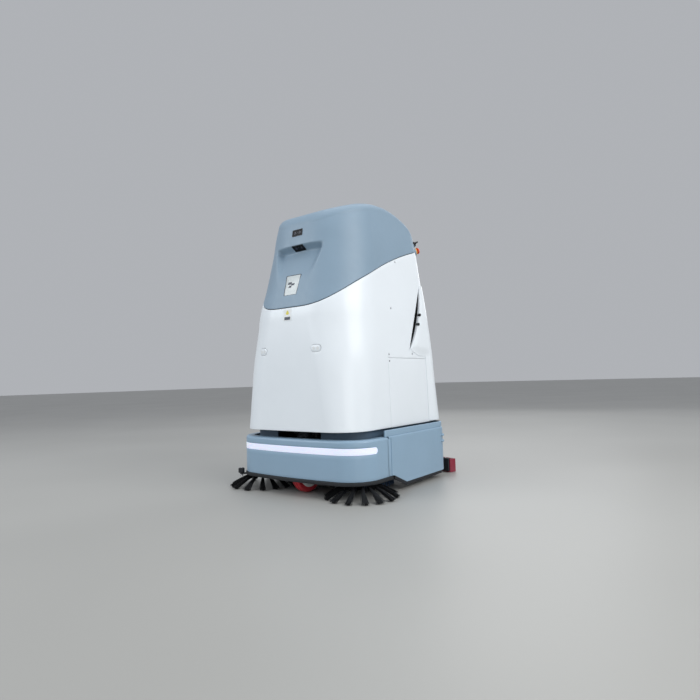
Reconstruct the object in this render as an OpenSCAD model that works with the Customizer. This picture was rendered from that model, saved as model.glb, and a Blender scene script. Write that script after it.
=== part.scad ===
// Robotic floor scrubber: a low rounded base with a sprung bumper, side brushes, scrub deck
// and squeegee, and a tall tapered body that holds the tanks under a hinged hood.
// Origin on the floor under the middle of the machine, front towards -Y, millimetres.

/* [Base] */
// Distance from the origin forward to the front of the base
front_reach = 408; // [404:1:412]
// Half width of the base panels
base_half_w = 330; // [325:1:335]
// Length of the base, front to rear panel
base_len = 700; // [690:1:710]
// Radius of the front corners in plan
base_front_r = 120; // [110:1:125]
// Radius of the rear corners in plan
base_rear_r = 60; // [50:1:70]
// Radius of the slight bow across the front
base_bow_r = 2000; // [1800:50:2400]
// Height of the lower edge of the front shell
base_low = 70; // [66:1:74]
// Height of the shoulder of the base
base_top = 221; // [219:1:222]
// Thickness of the moulded panels
panel_t = 5; // [4:0.5:5]
// Travel of the front bumper when it is pushed
bumper_travel = 6; // [4:1:6]

/* [Body] */
// Height of the lower edge of the white body
body_low = 250; // [248:1:252]
// Radius of the rear corners of the body in plan
body_rear_r = 100; // [90:1:105]
// Gap between the hood and the body
hood_gap = 3; // [2:0.5:4]
// Radius of the rolled edge round the roof
roof_edge_r = 34; // [28:1:38]
// Height that the middle of the roof stands above its edge
roof_crown = 5; // [3:1:8]
// Height that the rear cover stands out from the body
cover_proud = 10; // [8:1:11]

/* [Wheels] */
// Radius of the steered front wheel
front_wheel_r = 80; // [76:1:80]
// Distance of the front wheel behind the front of the base
front_wheel_back = 100; // [98:1:102]
// Radius of the rear wheels
rear_wheel_r = 85; // [82:1:88]
// Distance of the rear wheels behind the front of the base
rear_wheel_back = 565; // [560:1:570]
// Distance of each rear wheel from the middle
rear_wheel_x = 262; // [258:1:264]

/* [Brushes] */
// Distance of each side brush from the middle
side_brush_x = 258; // [255:1:260]
// Distance of the side brushes behind the front of the base
side_brush_back = 114; // [112:1:116]
// Radius of the floor circle that the side bristles sweep
side_brush_r = 148; // [140:1:149]
// Number of tufts on a side brush
side_tufts = 14; // [10:1:16]
// Radius of a scrubbing brush
scrub_r = 115; // [110:1:116]
// Distance of each scrubbing brush from the middle
scrub_x = 125; // [122:1:126]
// Distance of the scrubbing brushes behind the front of the base
scrub_back = 350; // [348:1:352]

/* [Squeegee] */
// Outer radius of the curved rear blade
squeegee_r = 900; // [880:10:920]
// Distance of the rear blade's middle behind the front of the base
squeegee_back = 843; // [840:1:846]
// Angle from the middle of the squeegee to each end
squeegee_half_angle = 21.3; // [20:0.1:21.5]

/* [Steering] */
// Gear module of the steering gears
gear_module = 2.5; // [2.5:0.5:2.5]
// Teeth on the gear of the steered fork
fork_teeth = 36; // [36:2:36]
// Teeth on the motor's pinion
pinion_teeth = 18; // [18:2:18]

/* [Hidden] */
$fn = 48;

panel_grey = "#8fa5b9";
body_white = "#e9eef2";
trim_black = "#22252a";
steel_grey = "#6f757b";
signal_red = "#c8202c";

// Running clearance of a shaft in its bore, on the radius
run_gap = 0.05;
// Half width of the panels' shared cutting blocks, wider than the machine
past = 500;

// Outline of the white body by height: [height, value] pairs
half_w_by_z = [[250, 303], [500, 297], [700, 280], [850, 262], [1000, 245], [1100, 230], [1200, 214]];
front_by_z = [[250, 4], [500, 4], [700, 6], [740, 11], [830, 35], [1000, 68], [1050, 74], [1130, 92]];
rear_by_z = [[250, 735], [500, 707], [650, 703], [850, 701], [1000, 695], [1060, 690]];
front_r_by_z = [[250, 125], [500, 166], [700, 200], [1000, 200], [1100, 190]];
// Height of the seam between hood and body, by distance behind the front
seam_by_back = [[0, 737], [12, 738], [30, 752], [69, 781], [140, 830], [230, 877], [320, 920],
    [470, 980], [620, 1029],
    [655, 1039], [678, 1039], [690, 1037], [720, 1037]];
// Height of the roof by distance behind the front
roof_by_back = [[85, 1120], [110, 1134], [150, 1149], [250, 1178], [350, 1195], [410, 1198],
    [470, 1192], [540, 1176], [590, 1154], [630, 1122], [660, 1084], [695, 1036]];

// Bow of the flat stretches across the body's front and rear
face_bow = 2;
// Steps round half of the body: front flat, front corner, side, rear corner, rear flat
flat_steps = 2;
corner_steps = 8;
side_steps = 7;
rear_steps = 5;
half_steps = 2 * flat_steps + corner_steps + side_steps + rear_steps;
ring_steps = 2 * half_steps;

fork_gear_r = gear_module * fork_teeth / 2;
pinion_r = gear_module * pinion_teeth / 2;
pinion_back = front_wheel_back + fork_gear_r + pinion_r;
hinge_back = 702;
hinge_z = 1038;
// Axis of the rear cover's hinge
cover_hinge_back = 741;
cover_hinge_z = 244;
// Opening that each side service panel fills
service_front = 268;
service_rear = 580;
service_high = 530;
// Middle, tilt and lean of the finger recess in each side
recess_mid = [274, 525, 709];
recess_tilt = 6.2;
recess_lean = 28.2;
squeegee_centre = squeegee_back - squeegee_r;
// Places of the screws on the right side: distance behind the front, height
screw_spots = [[280, 516], [280, 543], [468, 549], [335, 737], [420, 949]];

function mix(a, b, k) = a + (b - a) * k;

// Point number i of the body's outline at height z, drawn in by inset
function outline_half(i, z, inset) =
    let (w = lookup(z, half_w_by_z) - inset, f = lookup(z, front_by_z) + inset)
    let (b = lookup(z, rear_by_z) - inset, r = lookup(z, front_r_by_z) - inset)
    let (q = body_rear_r - inset, i1 = flat_steps, i2 = i1 + corner_steps)
    let (i3 = i2 + side_steps, i4 = i3 + rear_steps)
    i <= i1 ? [(w - r) * i / i1, f - face_bow * (1 - pow(i / i1, 2))] :
    i <= i2 ? let (a = 90 * (i - i1) / corner_steps) [w - r + r * sin(a), f + r - r * cos(a)] :
    i <= i3 ? [w, mix(f + r, b - q, (i - i2) / side_steps)] :
    i <= i4 ? let (a = 90 * (i - i3) / rear_steps) [w - q + q * cos(a), b - q + q * sin(a)] :
    let (k = (half_steps - i) / flat_steps) [(w - q) * k, b + face_bow * (1 - k * k)];

function outline(i, z, inset) = i <= half_steps ? outline_half(i, z, inset)
    : let (p = outline_half(ring_steps - i, z, inset)) [-p[0], p[1]];

// Heights of the seam and of the roof's rolled edge above outline point i
function seam_at(i) = let (a = lookup(outline(i, 850, 0)[1], seam_by_back))
    lookup(outline(i, a, 0)[1], seam_by_back);
function roof_at(back) = lookup(back, roof_by_back);
function rim_at(i) = let (a = roof_at(outline(i, 1100, 0)[1]) - roof_edge_r)
    let (b = roof_at(outline(i, a, 0)[1]) - roof_edge_r) max(b, seam_at(i) + 8);

function to_row(p, z) = [p[0], p[1] - front_reach, z];

// Rows of points of the hood's surface: wall, rolled edge, then the roof towards its spine
wall_rows = 4;
edge_rows = 3;
roof_rows = 3;
spine_front = 220;
spine_rear = 540;
function hood_row(k, inset, drop) = [for (i = [0 : ring_steps - 1])
    let (low = seam_at(i) + hood_gap / 2, rim = rim_at(i))
    k <= wall_rows ? let (z = mix(low, rim, k / wall_rows)) to_row(outline(i, z, inset), z) :
    let (e = min(k - wall_rows, edge_rows), a = 90 * e / edge_rows)
    let (rim_pt = outline(i, rim, inset + (roof_edge_r - drop) * (1 - cos(a))))
    let (s = 0.3 * max(0, k - wall_rows - edge_rows))
    let (spine = [0, min(max(rim_pt[1], spine_front), spine_rear)])
    let (p = [mix(rim_pt[0], spine[0], s), mix(rim_pt[1], spine[1], s)])
    let (crown = s == 0 ? 0 : roof_crown * s)
    let (top = roof_at(p[1]) + crown - drop)
    to_row(p, e < edge_rows ? mix(rim, top, sin(a)) : top)];
hood_rows = wall_rows + edge_rows + roof_rows;

function flat_list(rows) = [for (row = rows) for (p = row) p];
// Two triangles between rows a and b of a skin, from step i to the next
function strip(a, b, n) = [for (i = [0 : n - 1]) let (j = (i + 1) % n)
    each [[a * n + i, b * n + i, b * n + j], [a * n + i, b * n + j, a * n + j]]];
function turned(faces) = [for (f = faces) [f[2], f[1], f[0]]];
// Faces that close a symmetrical ring of n points across its middle
function across(row, n) = let (s = row * n, h = n / 2)
    concat([[s, s + n - 1, s + 1]],
        [for (i = [1 : h - 2]) each [[s + i, s + n - i, s + n - i - 1], [s + i, s + n - i - 1, s + i + 1]]],
        [[s + h - 1, s + h + 1, s + h]]);

// ---- Shared placing and outlines ----

module at(x, back, z) translate([x, back - front_reach, z]) children();

module both_sides() {
    children();
    mirror([1, 0, 0]) children();
}

module left_side() mirror([1, 0, 0]) children();

// Box given by its low corner and size, measured back from the front of the base
module block(low, size) at(low[0], low[1], low[2]) cube(size);

// Box centred on the middle plane
module mid_block(half_w, back, z, length, height) block([-half_w, back, z], [2 * half_w, length, height]);

module post(x, back, z, r, h) at(x, back, z) cylinder(r = r, h = h);

// Rounded rectangle in plan, from its front to its rear
module rounded_plan(half_w, front, rear, front_r, rear_r) {
    translate([-half_w, front + front_r]) square([2 * half_w, rear - front - front_r - rear_r]);
    translate([front_r - half_w, front]) square([2 * (half_w - front_r), front_r + 1]);
    translate([rear_r - half_w, rear - rear_r - 1]) square([2 * (half_w - rear_r), rear_r + 1]);
    for (side = [-1, 1]) {
        translate([side * (half_w - front_r), front + front_r]) circle(front_r);
        translate([side * (half_w - rear_r), rear - rear_r]) circle(rear_r);
    }
}

// Outline of the base, drawn in by inset
module base_plan(inset) intersection() {
    rounded_plan(base_half_w - inset, inset, base_len - inset, base_front_r - inset, base_rear_r - inset);
    translate([0, base_bow_r]) circle(base_bow_r - inset, $fn = 360);
}

// Wall that follows the base outline between two insets
module base_wall(outer, inner, low, high) at(0, 0, low) linear_extrude(high - low) difference() {
    base_plan(outer);
    base_plan(inner);
}

// Prism across the whole machine with an outline given as [back, height] points
module side_prism(points, half_w = past) translate([-half_w, -front_reach, 0])
    rotate([90, 0, 90]) linear_extrude(2 * half_w) polygon(points);

// Prism through the front with an outline given as [x, height] points
module front_prism(points, front, length) at(0, front + length, 0)
    rotate([90, 0, 0]) linear_extrude(length) polygon(points);

// Hollow ring of the body's own outline between two insets
module body_ring(outer, inner, low, rows, follow_seam, high = 0) {
    function row(k, inset) = [for (i = [0 : ring_steps - 1])
        let (top = follow_seam ? seam_at(i) - hood_gap / 2 : high)
        let (z = mix(low, top, k / rows)) to_row(outline(i, z, inset), z)];
    n = ring_steps;
    outside = [for (k = [0 : rows]) row(k, outer)];
    inside = [for (k = [0 : rows]) row(k, inner)];
    points = flat_list(concat(outside, inside));
    first = rows + 1;
    faces = concat(
        [for (k = [0 : rows - 1]) each strip(k, k + 1, n)],
        [for (k = [0 : rows - 1]) each turned(strip(first + k, first + k + 1, n))],
        turned(strip(0, first, n)),
        strip(rows, first + rows, n));
    polyhedron(points, faces);
}

// Spur gear with involute teeth, a tooth pointing along +X
module gear(teeth, thickness, bore) {
    pitch_r = gear_module * teeth / 2;
    base_r = pitch_r * cos(20);
    tip_r = pitch_r + 0.9 * gear_module;
    root_r = pitch_r - 1.2 * gear_module;
    function inv(a) = tan(a) * 180 / PI - a;
    half_tooth = 90 / teeth * 0.9;
    function flank(r) = half_tooth + inv(20) - inv(acos(min(1, base_r / r)));
    radii = [root_r, max(base_r, root_r + 0.1), pitch_r, tip_r];
    function flank_point(k, side, turn) = let (a = turn + side * flank(max(radii[k], base_r)))
        radii[k] * [cos(a), sin(a)];
    difference() {
        linear_extrude(thickness) polygon([for (tooth = [0 : teeth - 1]) let (turn = 360 * tooth / teeth)
            each concat([for (k = [0 : 3]) flank_point(k, -1, turn)],
                [for (k = [3 : -1 : 0]) flank_point(k, 1, turn)])]);
        translate([0, 0, -1]) cylinder(r = bore, h = thickness + 2);
    }
}

// ---- Chassis ----

module chassis_frame() color(steel_grey) difference() {
    union() {
        both_sides() block([135, 70, 165], [30, 605, 25]);
        for (back = [232, 442, 650]) mid_block(136, back, 165, 25, 25);
        mid_block(165, 60, 190, 165, 8);
        both_sides() block([120, 92, 150], [165, 44, 6]);
        both_sides() block([135, 92, 155], [30, 44, 12]);
        both_sides() block([228, 520, 68], [6, 90, 122]);
        both_sides() block([160, 640, 165], [74, 25, 25]);
        both_sides() block([160, 520, 165], [74, 25, 25]);
        both_sides() block([54, 625, 112], [6, 45, 54]);
        for (back = [244, 454]) post(0, back, 72, 6, 95);
        both_sides() block([140, 205, 189], [24, 24, 17]);
        both_sides() block([140, 600, 189], [24, 24, 17]);
    }
    post(0, front_wheel_back, 180, 12 + run_gap, 30);
    post(0, pinion_back, 180, 6, 30);
    at(-past, 640, 130) rotate([0, 90, 0]) cylinder(r = 6 + run_gap, h = 2 * past);
    both_sides() at(220, rear_wheel_back, rear_wheel_r) rotate([0, 90, 0]) cylinder(r = 10, h = 20);
}

module body_frame() color(steel_grey) difference() {
    union() {
        at(0, 0, 252) linear_extrude(5) rounded_plan(290, 16, 718, 112, 88);
        both_sides() for (back = [205, 600]) block([140, back, 212], [24, 24, 41]);
        both_sides() block([206, 360, 256], [18, 22, 684]);
        mid_block(224, 360, 938, 22, 18);
        both_sides() block([200, 384, 462], [24, 270, 6]);
        mid_block(224, 384, 462, 20, 6);
        mid_block(224, 640, 462, 20, 6);
        both_sides() block([206, 382, 440], [18, 12, 24]);
    }
    post(0, pinion_back, 240, 32, 30);
    post(0, 560, 240, 30, 30);
}

module top_deck() color(trim_black) difference() {
    at(0, 0, 206) linear_extrude(6) difference() {
        base_plan(36);
        translate([0, pinion_back]) circle(32);
        translate([0, 560]) circle(30);
    }
}

// Wall between base and body, open in the middle of the front for the scanner
neck_front = 55;
scan_half_w = 115;
module neck_wall() color(panel_grey) at(0, 0, 212) linear_extrude(36) difference() {
    rounded_plan(286, neck_front, 686, 110, 50);
    rounded_plan(282, neck_front + 4, 682, 106, 46);
    translate([-scan_half_w, 0]) square([2 * scan_half_w, 120]);
}

// Side view of a base side panel: stepped lower edge, straight ends
side_front = 205.5;
side_rear = 638;
module side_panel() difference() {
    union() {
        intersection() {
            base_wall(0, panel_t, 10, base_top + 2);
            side_prism([[side_front, base_low], [236, base_low], [331, 30], [side_rear, 30],
                [side_rear, past], [side_front, past]]);
        }
        intersection() {
            base_wall(4, 4 + panel_t, base_top + 1, 246);
            side_prism([[184, 0], [side_rear, 0], [side_rear, past], [184, past]]);
        }
    }
    mid_block(200, 0, 0, base_len, past);
    block([-past, 0, 0], [past, base_len, past]);
}

module side_panel_right() color(panel_grey) side_panel();

module side_panel_left() color(panel_grey) left_side() side_panel();

module rear_panel() color(panel_grey) difference() {
    intersection() {
        union() {
            base_wall(0, panel_t, 30, base_top + 2);
            base_wall(4, 4 + panel_t, base_top + 1, 246);
        }
        side_prism([[side_rear + 1, 0], [past * 2, 0], [past * 2, past], [side_rear + 1, past]]);
    }
    mid_block(90, 660, 0, 60, 198);
}

module side_skirts() color(trim_black) intersection() {
    difference() {
        base_wall(1, 7, 10, 90);
        mid_block(200, 0, 0, base_len + 10, past);
    }
    side_prism([[243, 67], [331, 30], [side_rear, 30], [side_rear, 18], [326, 18], [240, 55]]);
}

// ---- Front bumper ----

bumper_rear = side_front - bumper_travel - 1;
light_low = 167;
light_high = 192;
light_end = 112;
light_depth = 2.5;

// Band round the front between two insets that ends in half rounds at the sides
module light_band(outer, inner) intersection() {
    base_wall(outer, inner, light_low, light_high);
    union() {
        block([-past, -past, light_low - 5], [2 * past, past + light_end, 35]);
        at(-past, light_end, (light_low + light_high) / 2) rotate([0, 90, 0])
            cylinder(r = (light_high - light_low) / 2, h = 2 * past);
    }
}

module bumper_shell() color(panel_grey) difference() {
    union() {
        base_wall(0, panel_t, base_low, base_top);
        base_wall(panel_t - 1, 34, base_top - panel_t, base_top);
    }
    block([-past, bumper_rear, 0], [2 * past, past * 2, past]);
    light_band(-10, light_depth);
}

module light_strip() color("#dfe2f6") light_band(0, light_depth);

module bumper_strip() color(trim_black) difference() {
    union() {
        base_wall(-4, 8, 55, base_low);
        post(-300, 24, 57, 9, 6);
    }
    block([-past, 226, 0], [2 * past, past * 2, past]);
    post(-300, 20, 62, 14.5, 30);
    post(-300, 20, 50, 4 + run_gap, 30);
}

module corner_roller() color(trim_black) {
    post(-300, 20, 63, 13, 20);
    post(-300, 20, 52, 4, 12);
    post(-300, 20, 50, 7, 4.9);
}

lidar_back = 92;
module lidar_base() color(trim_black) difference() {
    post(0, lidar_back, 212, 34, 8);
    post(0, lidar_back, 214, 6 + run_gap, 10);
}

module lidar_head() color("#15171a") {
    post(0, lidar_back, 220.5, 30, 22);
    post(0, lidar_back, 215, 6, 6);
}

// ---- White body ----

// Lens outline of the finger recess, long axis along Y of the plane
module recess_lens(grow) {
    half = 172;
    front_sag = 2;
    rear_sag = 25;
    front_r = (half * half + front_sag * front_sag) / (2 * front_sag);
    rear_r = (half * half + rear_sag * rear_sag) / (2 * rear_sag);
    intersection() {
        translate([front_r - front_sag, 0]) circle(front_r + grow, $fn = 300);
        translate([rear_sag - rear_r, 0]) circle(rear_r + grow, $fn = 180);
        square([200, 2 * half + 2 * grow], center = true);
    }
}

// Places a recess shape on the right side: drawn in back and height, pushed out along the side's normal
module on_recess(depth_from, depth_to) at(recess_mid[0], recess_mid[1], recess_mid[2])
    rotate([0, -recess_tilt, 0]) translate([depth_from, 0, 0]) rotate([90, 0, 90])
    linear_extrude(depth_to - depth_from) rotate(-recess_lean) children();

module service_window() both_sides() block([200, service_front, 200],
    [past, service_rear - service_front, service_high - 200]);

module screw_holes() both_sides() for (spot = screw_spots)
    at(100, spot[0], spot[1]) rotate([0, 90, 0]) cylinder(r = 4.2, h = past);

module sensor_window(grow) both_sides() translate([140, 0, 568]) rotate([90, 0, 0])
    translate([0, 0, -past]) linear_extrude(2 * past) {
        square([16 + grow, 28 + 2 * grow], center = true);
        for (side = [-8, 8]) translate([side, 0]) circle(14 + grow);
    }

// Hinge knuckle round the hood's hinge line
module knuckle(x, length, pin_r) difference() {
    at(x, hinge_back, hinge_z) rotate([0, 90, 0]) cylinder(r = 6, h = length);
    at(x - 1, hinge_back, hinge_z) rotate([0, 90, 0]) cylinder(r = pin_r, h = length + 2);
}

// Hinge knuckle round the rear cover's hinge line
module cover_knuckle(x, length) at(x, cover_hinge_back, cover_hinge_z) rotate([0, 90, 0]) difference() {
    cylinder(r = 6, h = length);
    translate([0, 0, -1]) cylinder(r = 3 + run_gap, h = length + 2);
}

module body_shell() color(body_white) {
    difference() {
        body_ring(0, panel_t, body_low, 7, true);
        service_window();
        screw_holes();
        intersection() {
            sensor_window(0.4);
            mid_block(past, -50, 500, 150, 140);
        }
        both_sides() on_recess(-30, 60) recess_lens(0);
        mid_block(190, 650, 300, 200, 540);
        mid_block(112, 650, 882, 200, 120);
        on_control(estop_place, estop_turn) translate([0, 0, -30])
            cylinder(r = estop_boss_r + hood_gap, h = 60);
    }
    both_sides() {
        for (x = [100, 128]) {
            block([x, 731, cover_hinge_z + 2], [12, 6, 12]);
            cover_knuckle(x, 12);
        }
        difference() {
            union() {
                block([70, 690, 1018], [12, 11, 12]);
                block([98, 690, 1018], [12, 11, 12]);
                block([70, 696, 1028], [12, 9, 8]);
                block([98, 696, 1028], [12, 9, 8]);
            }
            at(0, hinge_back, hinge_z) rotate([0, 90, 0]) cylinder(r = 5, h = 200);
        }
        knuckle(70, 12, 2.5);
        knuckle(98, 12, 2.5);
    }
}

module grab_recesses() color(trim_black) both_sides() difference() {
    on_recess(-52, -6) recess_lens(4);
    on_recess(-48, 10) recess_lens(0);
}

module service_panel() difference() {
    intersection() {
        body_ring(0, panel_t, body_low, 4, false, 560);
        block([200, service_front + 2, 200],
            [past, service_rear - service_front - 4, service_high - 202]);
    }
    screw_holes();
}

module service_panel_right() color(body_white) service_panel();

module service_panel_left() color(body_white) left_side() service_panel();

catch_spots = [[563, 727], [540, 683]];
module rear_cover() color(body_white) difference() {
    union() {
        intersection() {
            body_ring(-cover_proud, panel_t - cover_proud, body_low + 4, 6, false, 868);
            side_prism([[service_rear + 2, 200], [900, 200], [900, 900], [612, 900], [607, 862],
                [571, 794], [537, 730], [503, 668], [471, 608], [457, 581], [462, 568],
                [482, 556], [520, service_high + 12], [service_rear + 2, service_high + 8]]);
        }
        both_sides() {
            block([113, cover_hinge_back, cover_hinge_z + 4], [14, 5, 12]);
            cover_knuckle(113, 14);
        }
    }
    both_sides() on_recess(-30, 60) recess_lens(0);
    both_sides() for (spot = catch_spots)
        at(200, spot[0], spot[1]) rotate([0, 90, 0]) cylinder(r = 6.7, h = past);
}

module cover_catches() color(trim_black) both_sides() for (spot = catch_spots)
    at(lookup(spot[1], half_w_by_z) + 1, spot[0], spot[1]) rotate([0, 90, 0]) cylinder(r = 6.5, h = 13);

module panel_screws() color("silver") both_sides() for (spot = screw_spots)
    at(lookup(spot[1], half_w_by_z) - 4, spot[0], spot[1]) rotate([0, 90, 0]) cylinder(r = 4, h = 4);

// ---- Hood ----

// Cut of the shallow pocket in the hood's front, in back and height
pocket_ceiling = 1004;
pocket_depth_back = 100;
module pocket_wedge(grow) intersection() {
    side_prism([[20 - grow, pocket_ceiling + grow], [62, pocket_ceiling + grow],
        [pocket_depth_back + grow, pocket_ceiling - 24 + grow], [42 + grow, 858], [20 - grow, 858]]);
    front_prism([[-122 - grow, 1100], [-122 - grow, 1000], [-88 - grow, 850], [88 + grow, 850],
        [122 + grow, 1000], [122 + grow, 1100]], 0, 200);
}

// Frames of the controls on the hood's rear corner: place on the surface and direction
estop_place = [204.5, 666.5, 1044];
estop_turn = [0, 72, 52];
estop_boss_r = 21;
knob_place = [194, 667, 1076];
knob_turn = [0, 56, 62];
boss_root = 28;
module on_control(place, turn) at(place[0], place[1], place[2]) rotate(turn) children();

module hood_skin() {
    n = ring_steps;
    outside = [for (k = [0 : hood_rows]) hood_row(k, 0, 0)];
    inside = [for (k = [0 : hood_rows]) hood_row(k, panel_t, panel_t)];
    first = hood_rows + 1;
    faces = concat(
        [for (k = [0 : hood_rows - 1]) each strip(k, k + 1, n)],
        [for (k = [0 : hood_rows - 1]) each turned(strip(first + k, first + k + 1, n))],
        turned(strip(0, first, n)),
        across(hood_rows, n),
        turned(across(first + hood_rows, n)));
    polyhedron(flat_list(concat(outside, inside)), faces);
}

module hood() color(panel_grey) difference() {
    union() {
        hood_skin();
        intersection() {
            pocket_wedge(panel_t);
            side_prism([[43, 850], [69, 995], [73, 1016], [130, 1016], [130, 850]]);
        }
        on_control(estop_place, estop_turn) translate([0, 0, -boss_root])
            cylinder(r = estop_boss_r, h = boss_root + 8);
        on_control(knob_place, knob_turn) translate([0, 0, -boss_root]) cylinder(r = 17, h = boss_root + 6);
        both_sides() difference() {
            block([83, 684, 1036], [14, 20, 8]);
            at(0, hinge_back, hinge_z) rotate([0, 90, 0]) cylinder(r = 5, h = 200);
        }
        both_sides() knuckle(83, 14, 2.5);
    }
    pocket_wedge(0);
    block([-25, 40, 1038], [50, 60, 30]);
    on_lower_camera() translate([-30, -16.5, -25]) cube([60, 33, 45]);
    on_badge() translate([0, 0, -2.5]) linear_extrude(20) badge_outline(0.3);
}

module hinge_pins() color("silver") both_sides() {
    at(68, hinge_back, hinge_z) rotate([0, 90, 0]) cylinder(r = 2.45, h = 44);
    at(98, cover_hinge_back, cover_hinge_z) rotate([0, 90, 0]) cylinder(r = 3, h = 44);
}

// Black window and housing of the camera above the pocket
module upper_camera() color(trim_black) difference() {
    union() {
        block([-24.5, 73, 1039], [49, 22, 28]);
        block([-34, 90, 1034], [68, 24, 38]);
    }
    at(-13, 70, 1053) rotate([-90, 0, 0]) cylinder(r = 6, h = 8);
    at(13, 70, 1053) rotate([-90, 0, 0]) cylinder(r = 6, h = 8);
}

module on_lower_camera() at(0, 82, 991) rotate([148, 0, 0]) children();
module lower_camera() color(trim_black) on_lower_camera() difference() {
    translate([-29.5, -16, -20]) cube([59, 32, 22]);
    for (x = [-14, 14]) translate([x, 0, -2]) cylinder(r = 6, h = 6);
}

// Blank identification plate on the hood's lower front
module on_badge() at(-2, 34.5, 831) rotate([74.5, 0, 0]) children();
module badge_outline(grow) polygon([[-32 - grow, -42 - grow], [31 + grow, -42 - grow],
    [40 + grow, 42 + grow], [-34 - grow, 42 + grow]]);
module badge_plate() color("white") on_badge() translate([0, 0, -2.5])
    linear_extrude(3) badge_outline(0);

module ultrasonic_sensors() color(body_white) intersection() {
    sensor_window(0);
    mid_block(past, 3, 500, 24, 140);
}

module touch_screen() color(trim_black) {
    mid_block(111, 684, 883, 20, 118);
    mid_block(90, 664, 895, 21, 90);
}

// ---- Controls ----

module estop_collar() color("#e0a020") on_control(estop_place, estop_turn) difference() {
    translate([0, 0, 8]) cylinder(r = 16, h = 8);
    translate([0, 0, 7]) cylinder(r = 8 + run_gap, h = 10);
}

estop_travel = 4;
module estop_button() color(signal_red) on_control(estop_place, estop_turn) {
    translate([0, 0, 16.5 + estop_travel]) cylinder(r = 15, h = 8);
    translate([0, 0, 13]) cylinder(r = 8, h = 4 + estop_travel);
}

module power_knob_base() color(trim_black) on_control(knob_place, knob_turn) difference() {
    translate([0, 0, 6]) cylinder(r = 14, h = 7);
    translate([0, 0, 5]) cylinder(r = 6 + run_gap, h = 10);
}

module power_knob() color(trim_black) on_control(knob_place, knob_turn) {
    translate([0, 0, 13.5]) cylinder(r = 13, h = 8);
    translate([0, 0, 8]) cylinder(r = 6, h = 6);
    translate([-4, -17, 21]) cube([8, 34, 14]);
}

// ---- Front wheel and steering ----

module wheel_disc(r, width) rotate([0, 90, 0]) translate([0, 0, -width / 2]) cylinder(r = r, h = width);

module wheel_ring(outer, inner, width) difference() {
    wheel_disc(outer, width);
    wheel_disc(inner, width + 2);
}

module on_front_wheel() at(0, front_wheel_back, front_wheel_r) children();

module steering_fork() color(steel_grey) {
    both_sides() on_front_wheel() translate([28, -22, -14]) cube([6, 44, 106]);
    mid_block(34, front_wheel_back - 22, 165, 44, 7);
    on_front_wheel() wheel_disc(8, 68);
    post(0, front_wheel_back, 171, 12, 33);
}

module steering_gear() color("silver") at(0, front_wheel_back, 176) rotate(90)
    gear(fork_teeth, 8, 12.1);

module steering_pinion() color("silver") {
    at(0, pinion_back, 176) rotate(90 + 180 / pinion_teeth) gear(pinion_teeth, 8, 4);
    post(0, pinion_back, 175, 5, 22.5);
}

module steering_motor() color(trim_black) {
    post(0, pinion_back, 198, 28, 58);
    post(0, pinion_back, 256, 20, 8);
}

module front_tyre() color(signal_red) on_front_wheel() wheel_ring(front_wheel_r, 60, 34);

module front_hub() color(body_white) on_front_wheel() difference() {
    union() {
        wheel_ring(60, 48, 34);
        wheel_disc(48, 26);
        wheel_disc(20, 52);
    }
    wheel_disc(8 + run_gap, 100);
}

// ---- Rear wheels ----

module on_rear_wheel() at(rear_wheel_x, rear_wheel_back, rear_wheel_r) children();

module rear_tyre() on_rear_wheel() wheel_ring(rear_wheel_r, 66, 38);

module rear_hub() on_rear_wheel() difference() {
    union() {
        wheel_ring(66, 54, 38);
        wheel_disc(54, 16);
        wheel_disc(22, 40);
    }
    wheel_disc(10 + run_gap, 100);
}

module rear_tyre_right() color(trim_black) rear_tyre();
module rear_tyre_left() color(trim_black) left_side() rear_tyre();
module rear_hub_right() color(body_white) rear_hub();
module rear_hub_left() color(body_white) left_side() rear_hub();

module rear_axles() color("silver") both_sides() at(228, rear_wheel_back, rear_wheel_r) rotate([0, 90, 0]) {
    cylinder(r = 10, h = 60);
    translate([0, 0, 56]) cylinder(r = 16, h = 5);
}

// ---- Side brushes ----

// One splayed tuft from the hub down to the floor circle
tuft_r = 5;
tuft_top = 60;
tuft_root_r = 28;
module tuft() {
    reach = side_brush_r - tuft_r - tuft_root_r;
    drop = tuft_top - 7;
    translate([tuft_root_r, 0, tuft_top]) rotate([0, 90 + atan2(drop, reach), 0])
        cylinder(r = tuft_r, h = norm([reach, drop]));
}

module side_brush() at(side_brush_x, side_brush_back, 0) {
    translate([0, 0, 52]) cylinder(r = 38, h = 14);
    translate([0, 0, 65]) cylinder(r = 14, h = 13);
    for (k = [0 : side_tufts - 1]) rotate(360 * k / side_tufts) tuft();
}

module side_brush_right() color(trim_black) side_brush();
module side_brush_left() color(trim_black) left_side() side_brush();

module side_brush_motors() color(steel_grey) both_sides() {
    post(side_brush_x, side_brush_back, 80, 30, 69.5);
    post(side_brush_x, side_brush_back, 156.5, 22, 28);
}

// ---- Scrub deck ----

// Travel of the scrub deck from working height to parked
deck_lift = 30;
module scrub_deck() color(steel_grey) difference() {
    union() {
        mid_block(246, 230, 58, 240, 6);
        mid_block(246, 230, 36, 4, 24);
        mid_block(246, 466, 36, 4, 24);
        for (back = [244, 454]) post(0, back, 58, 14, 34);
    }
    for (back = [244, 454]) post(0, back, 30, 6 + run_gap, 100);
    both_sides() post(scrub_x, scrub_back, 50, 18, 20);
}

module scrub_motors() color(trim_black) both_sides() {
    post(scrub_x, scrub_back, 64.5, 46, 16);
    post(scrub_x, scrub_back, 80, 38, 80 - deck_lift);
}

module scrub_brush() at(scrub_x, scrub_back, 0) {
    translate([0, 0, 30]) cylinder(r = scrub_r, h = 14);
    translate([0, 0, 43]) cylinder(r = 16, h = 20);
    difference() {
        translate([0, 0, 1]) cylinder(r = scrub_r - 4, h = 30);
        cylinder(r = 40, h = 100, center = true);
    }
}

module scrub_brush_right() color("#3a6ea5") scrub_brush();
module scrub_brush_left() color("#3a6ea5") left_side() scrub_brush();

// ---- Squeegee ----

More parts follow.
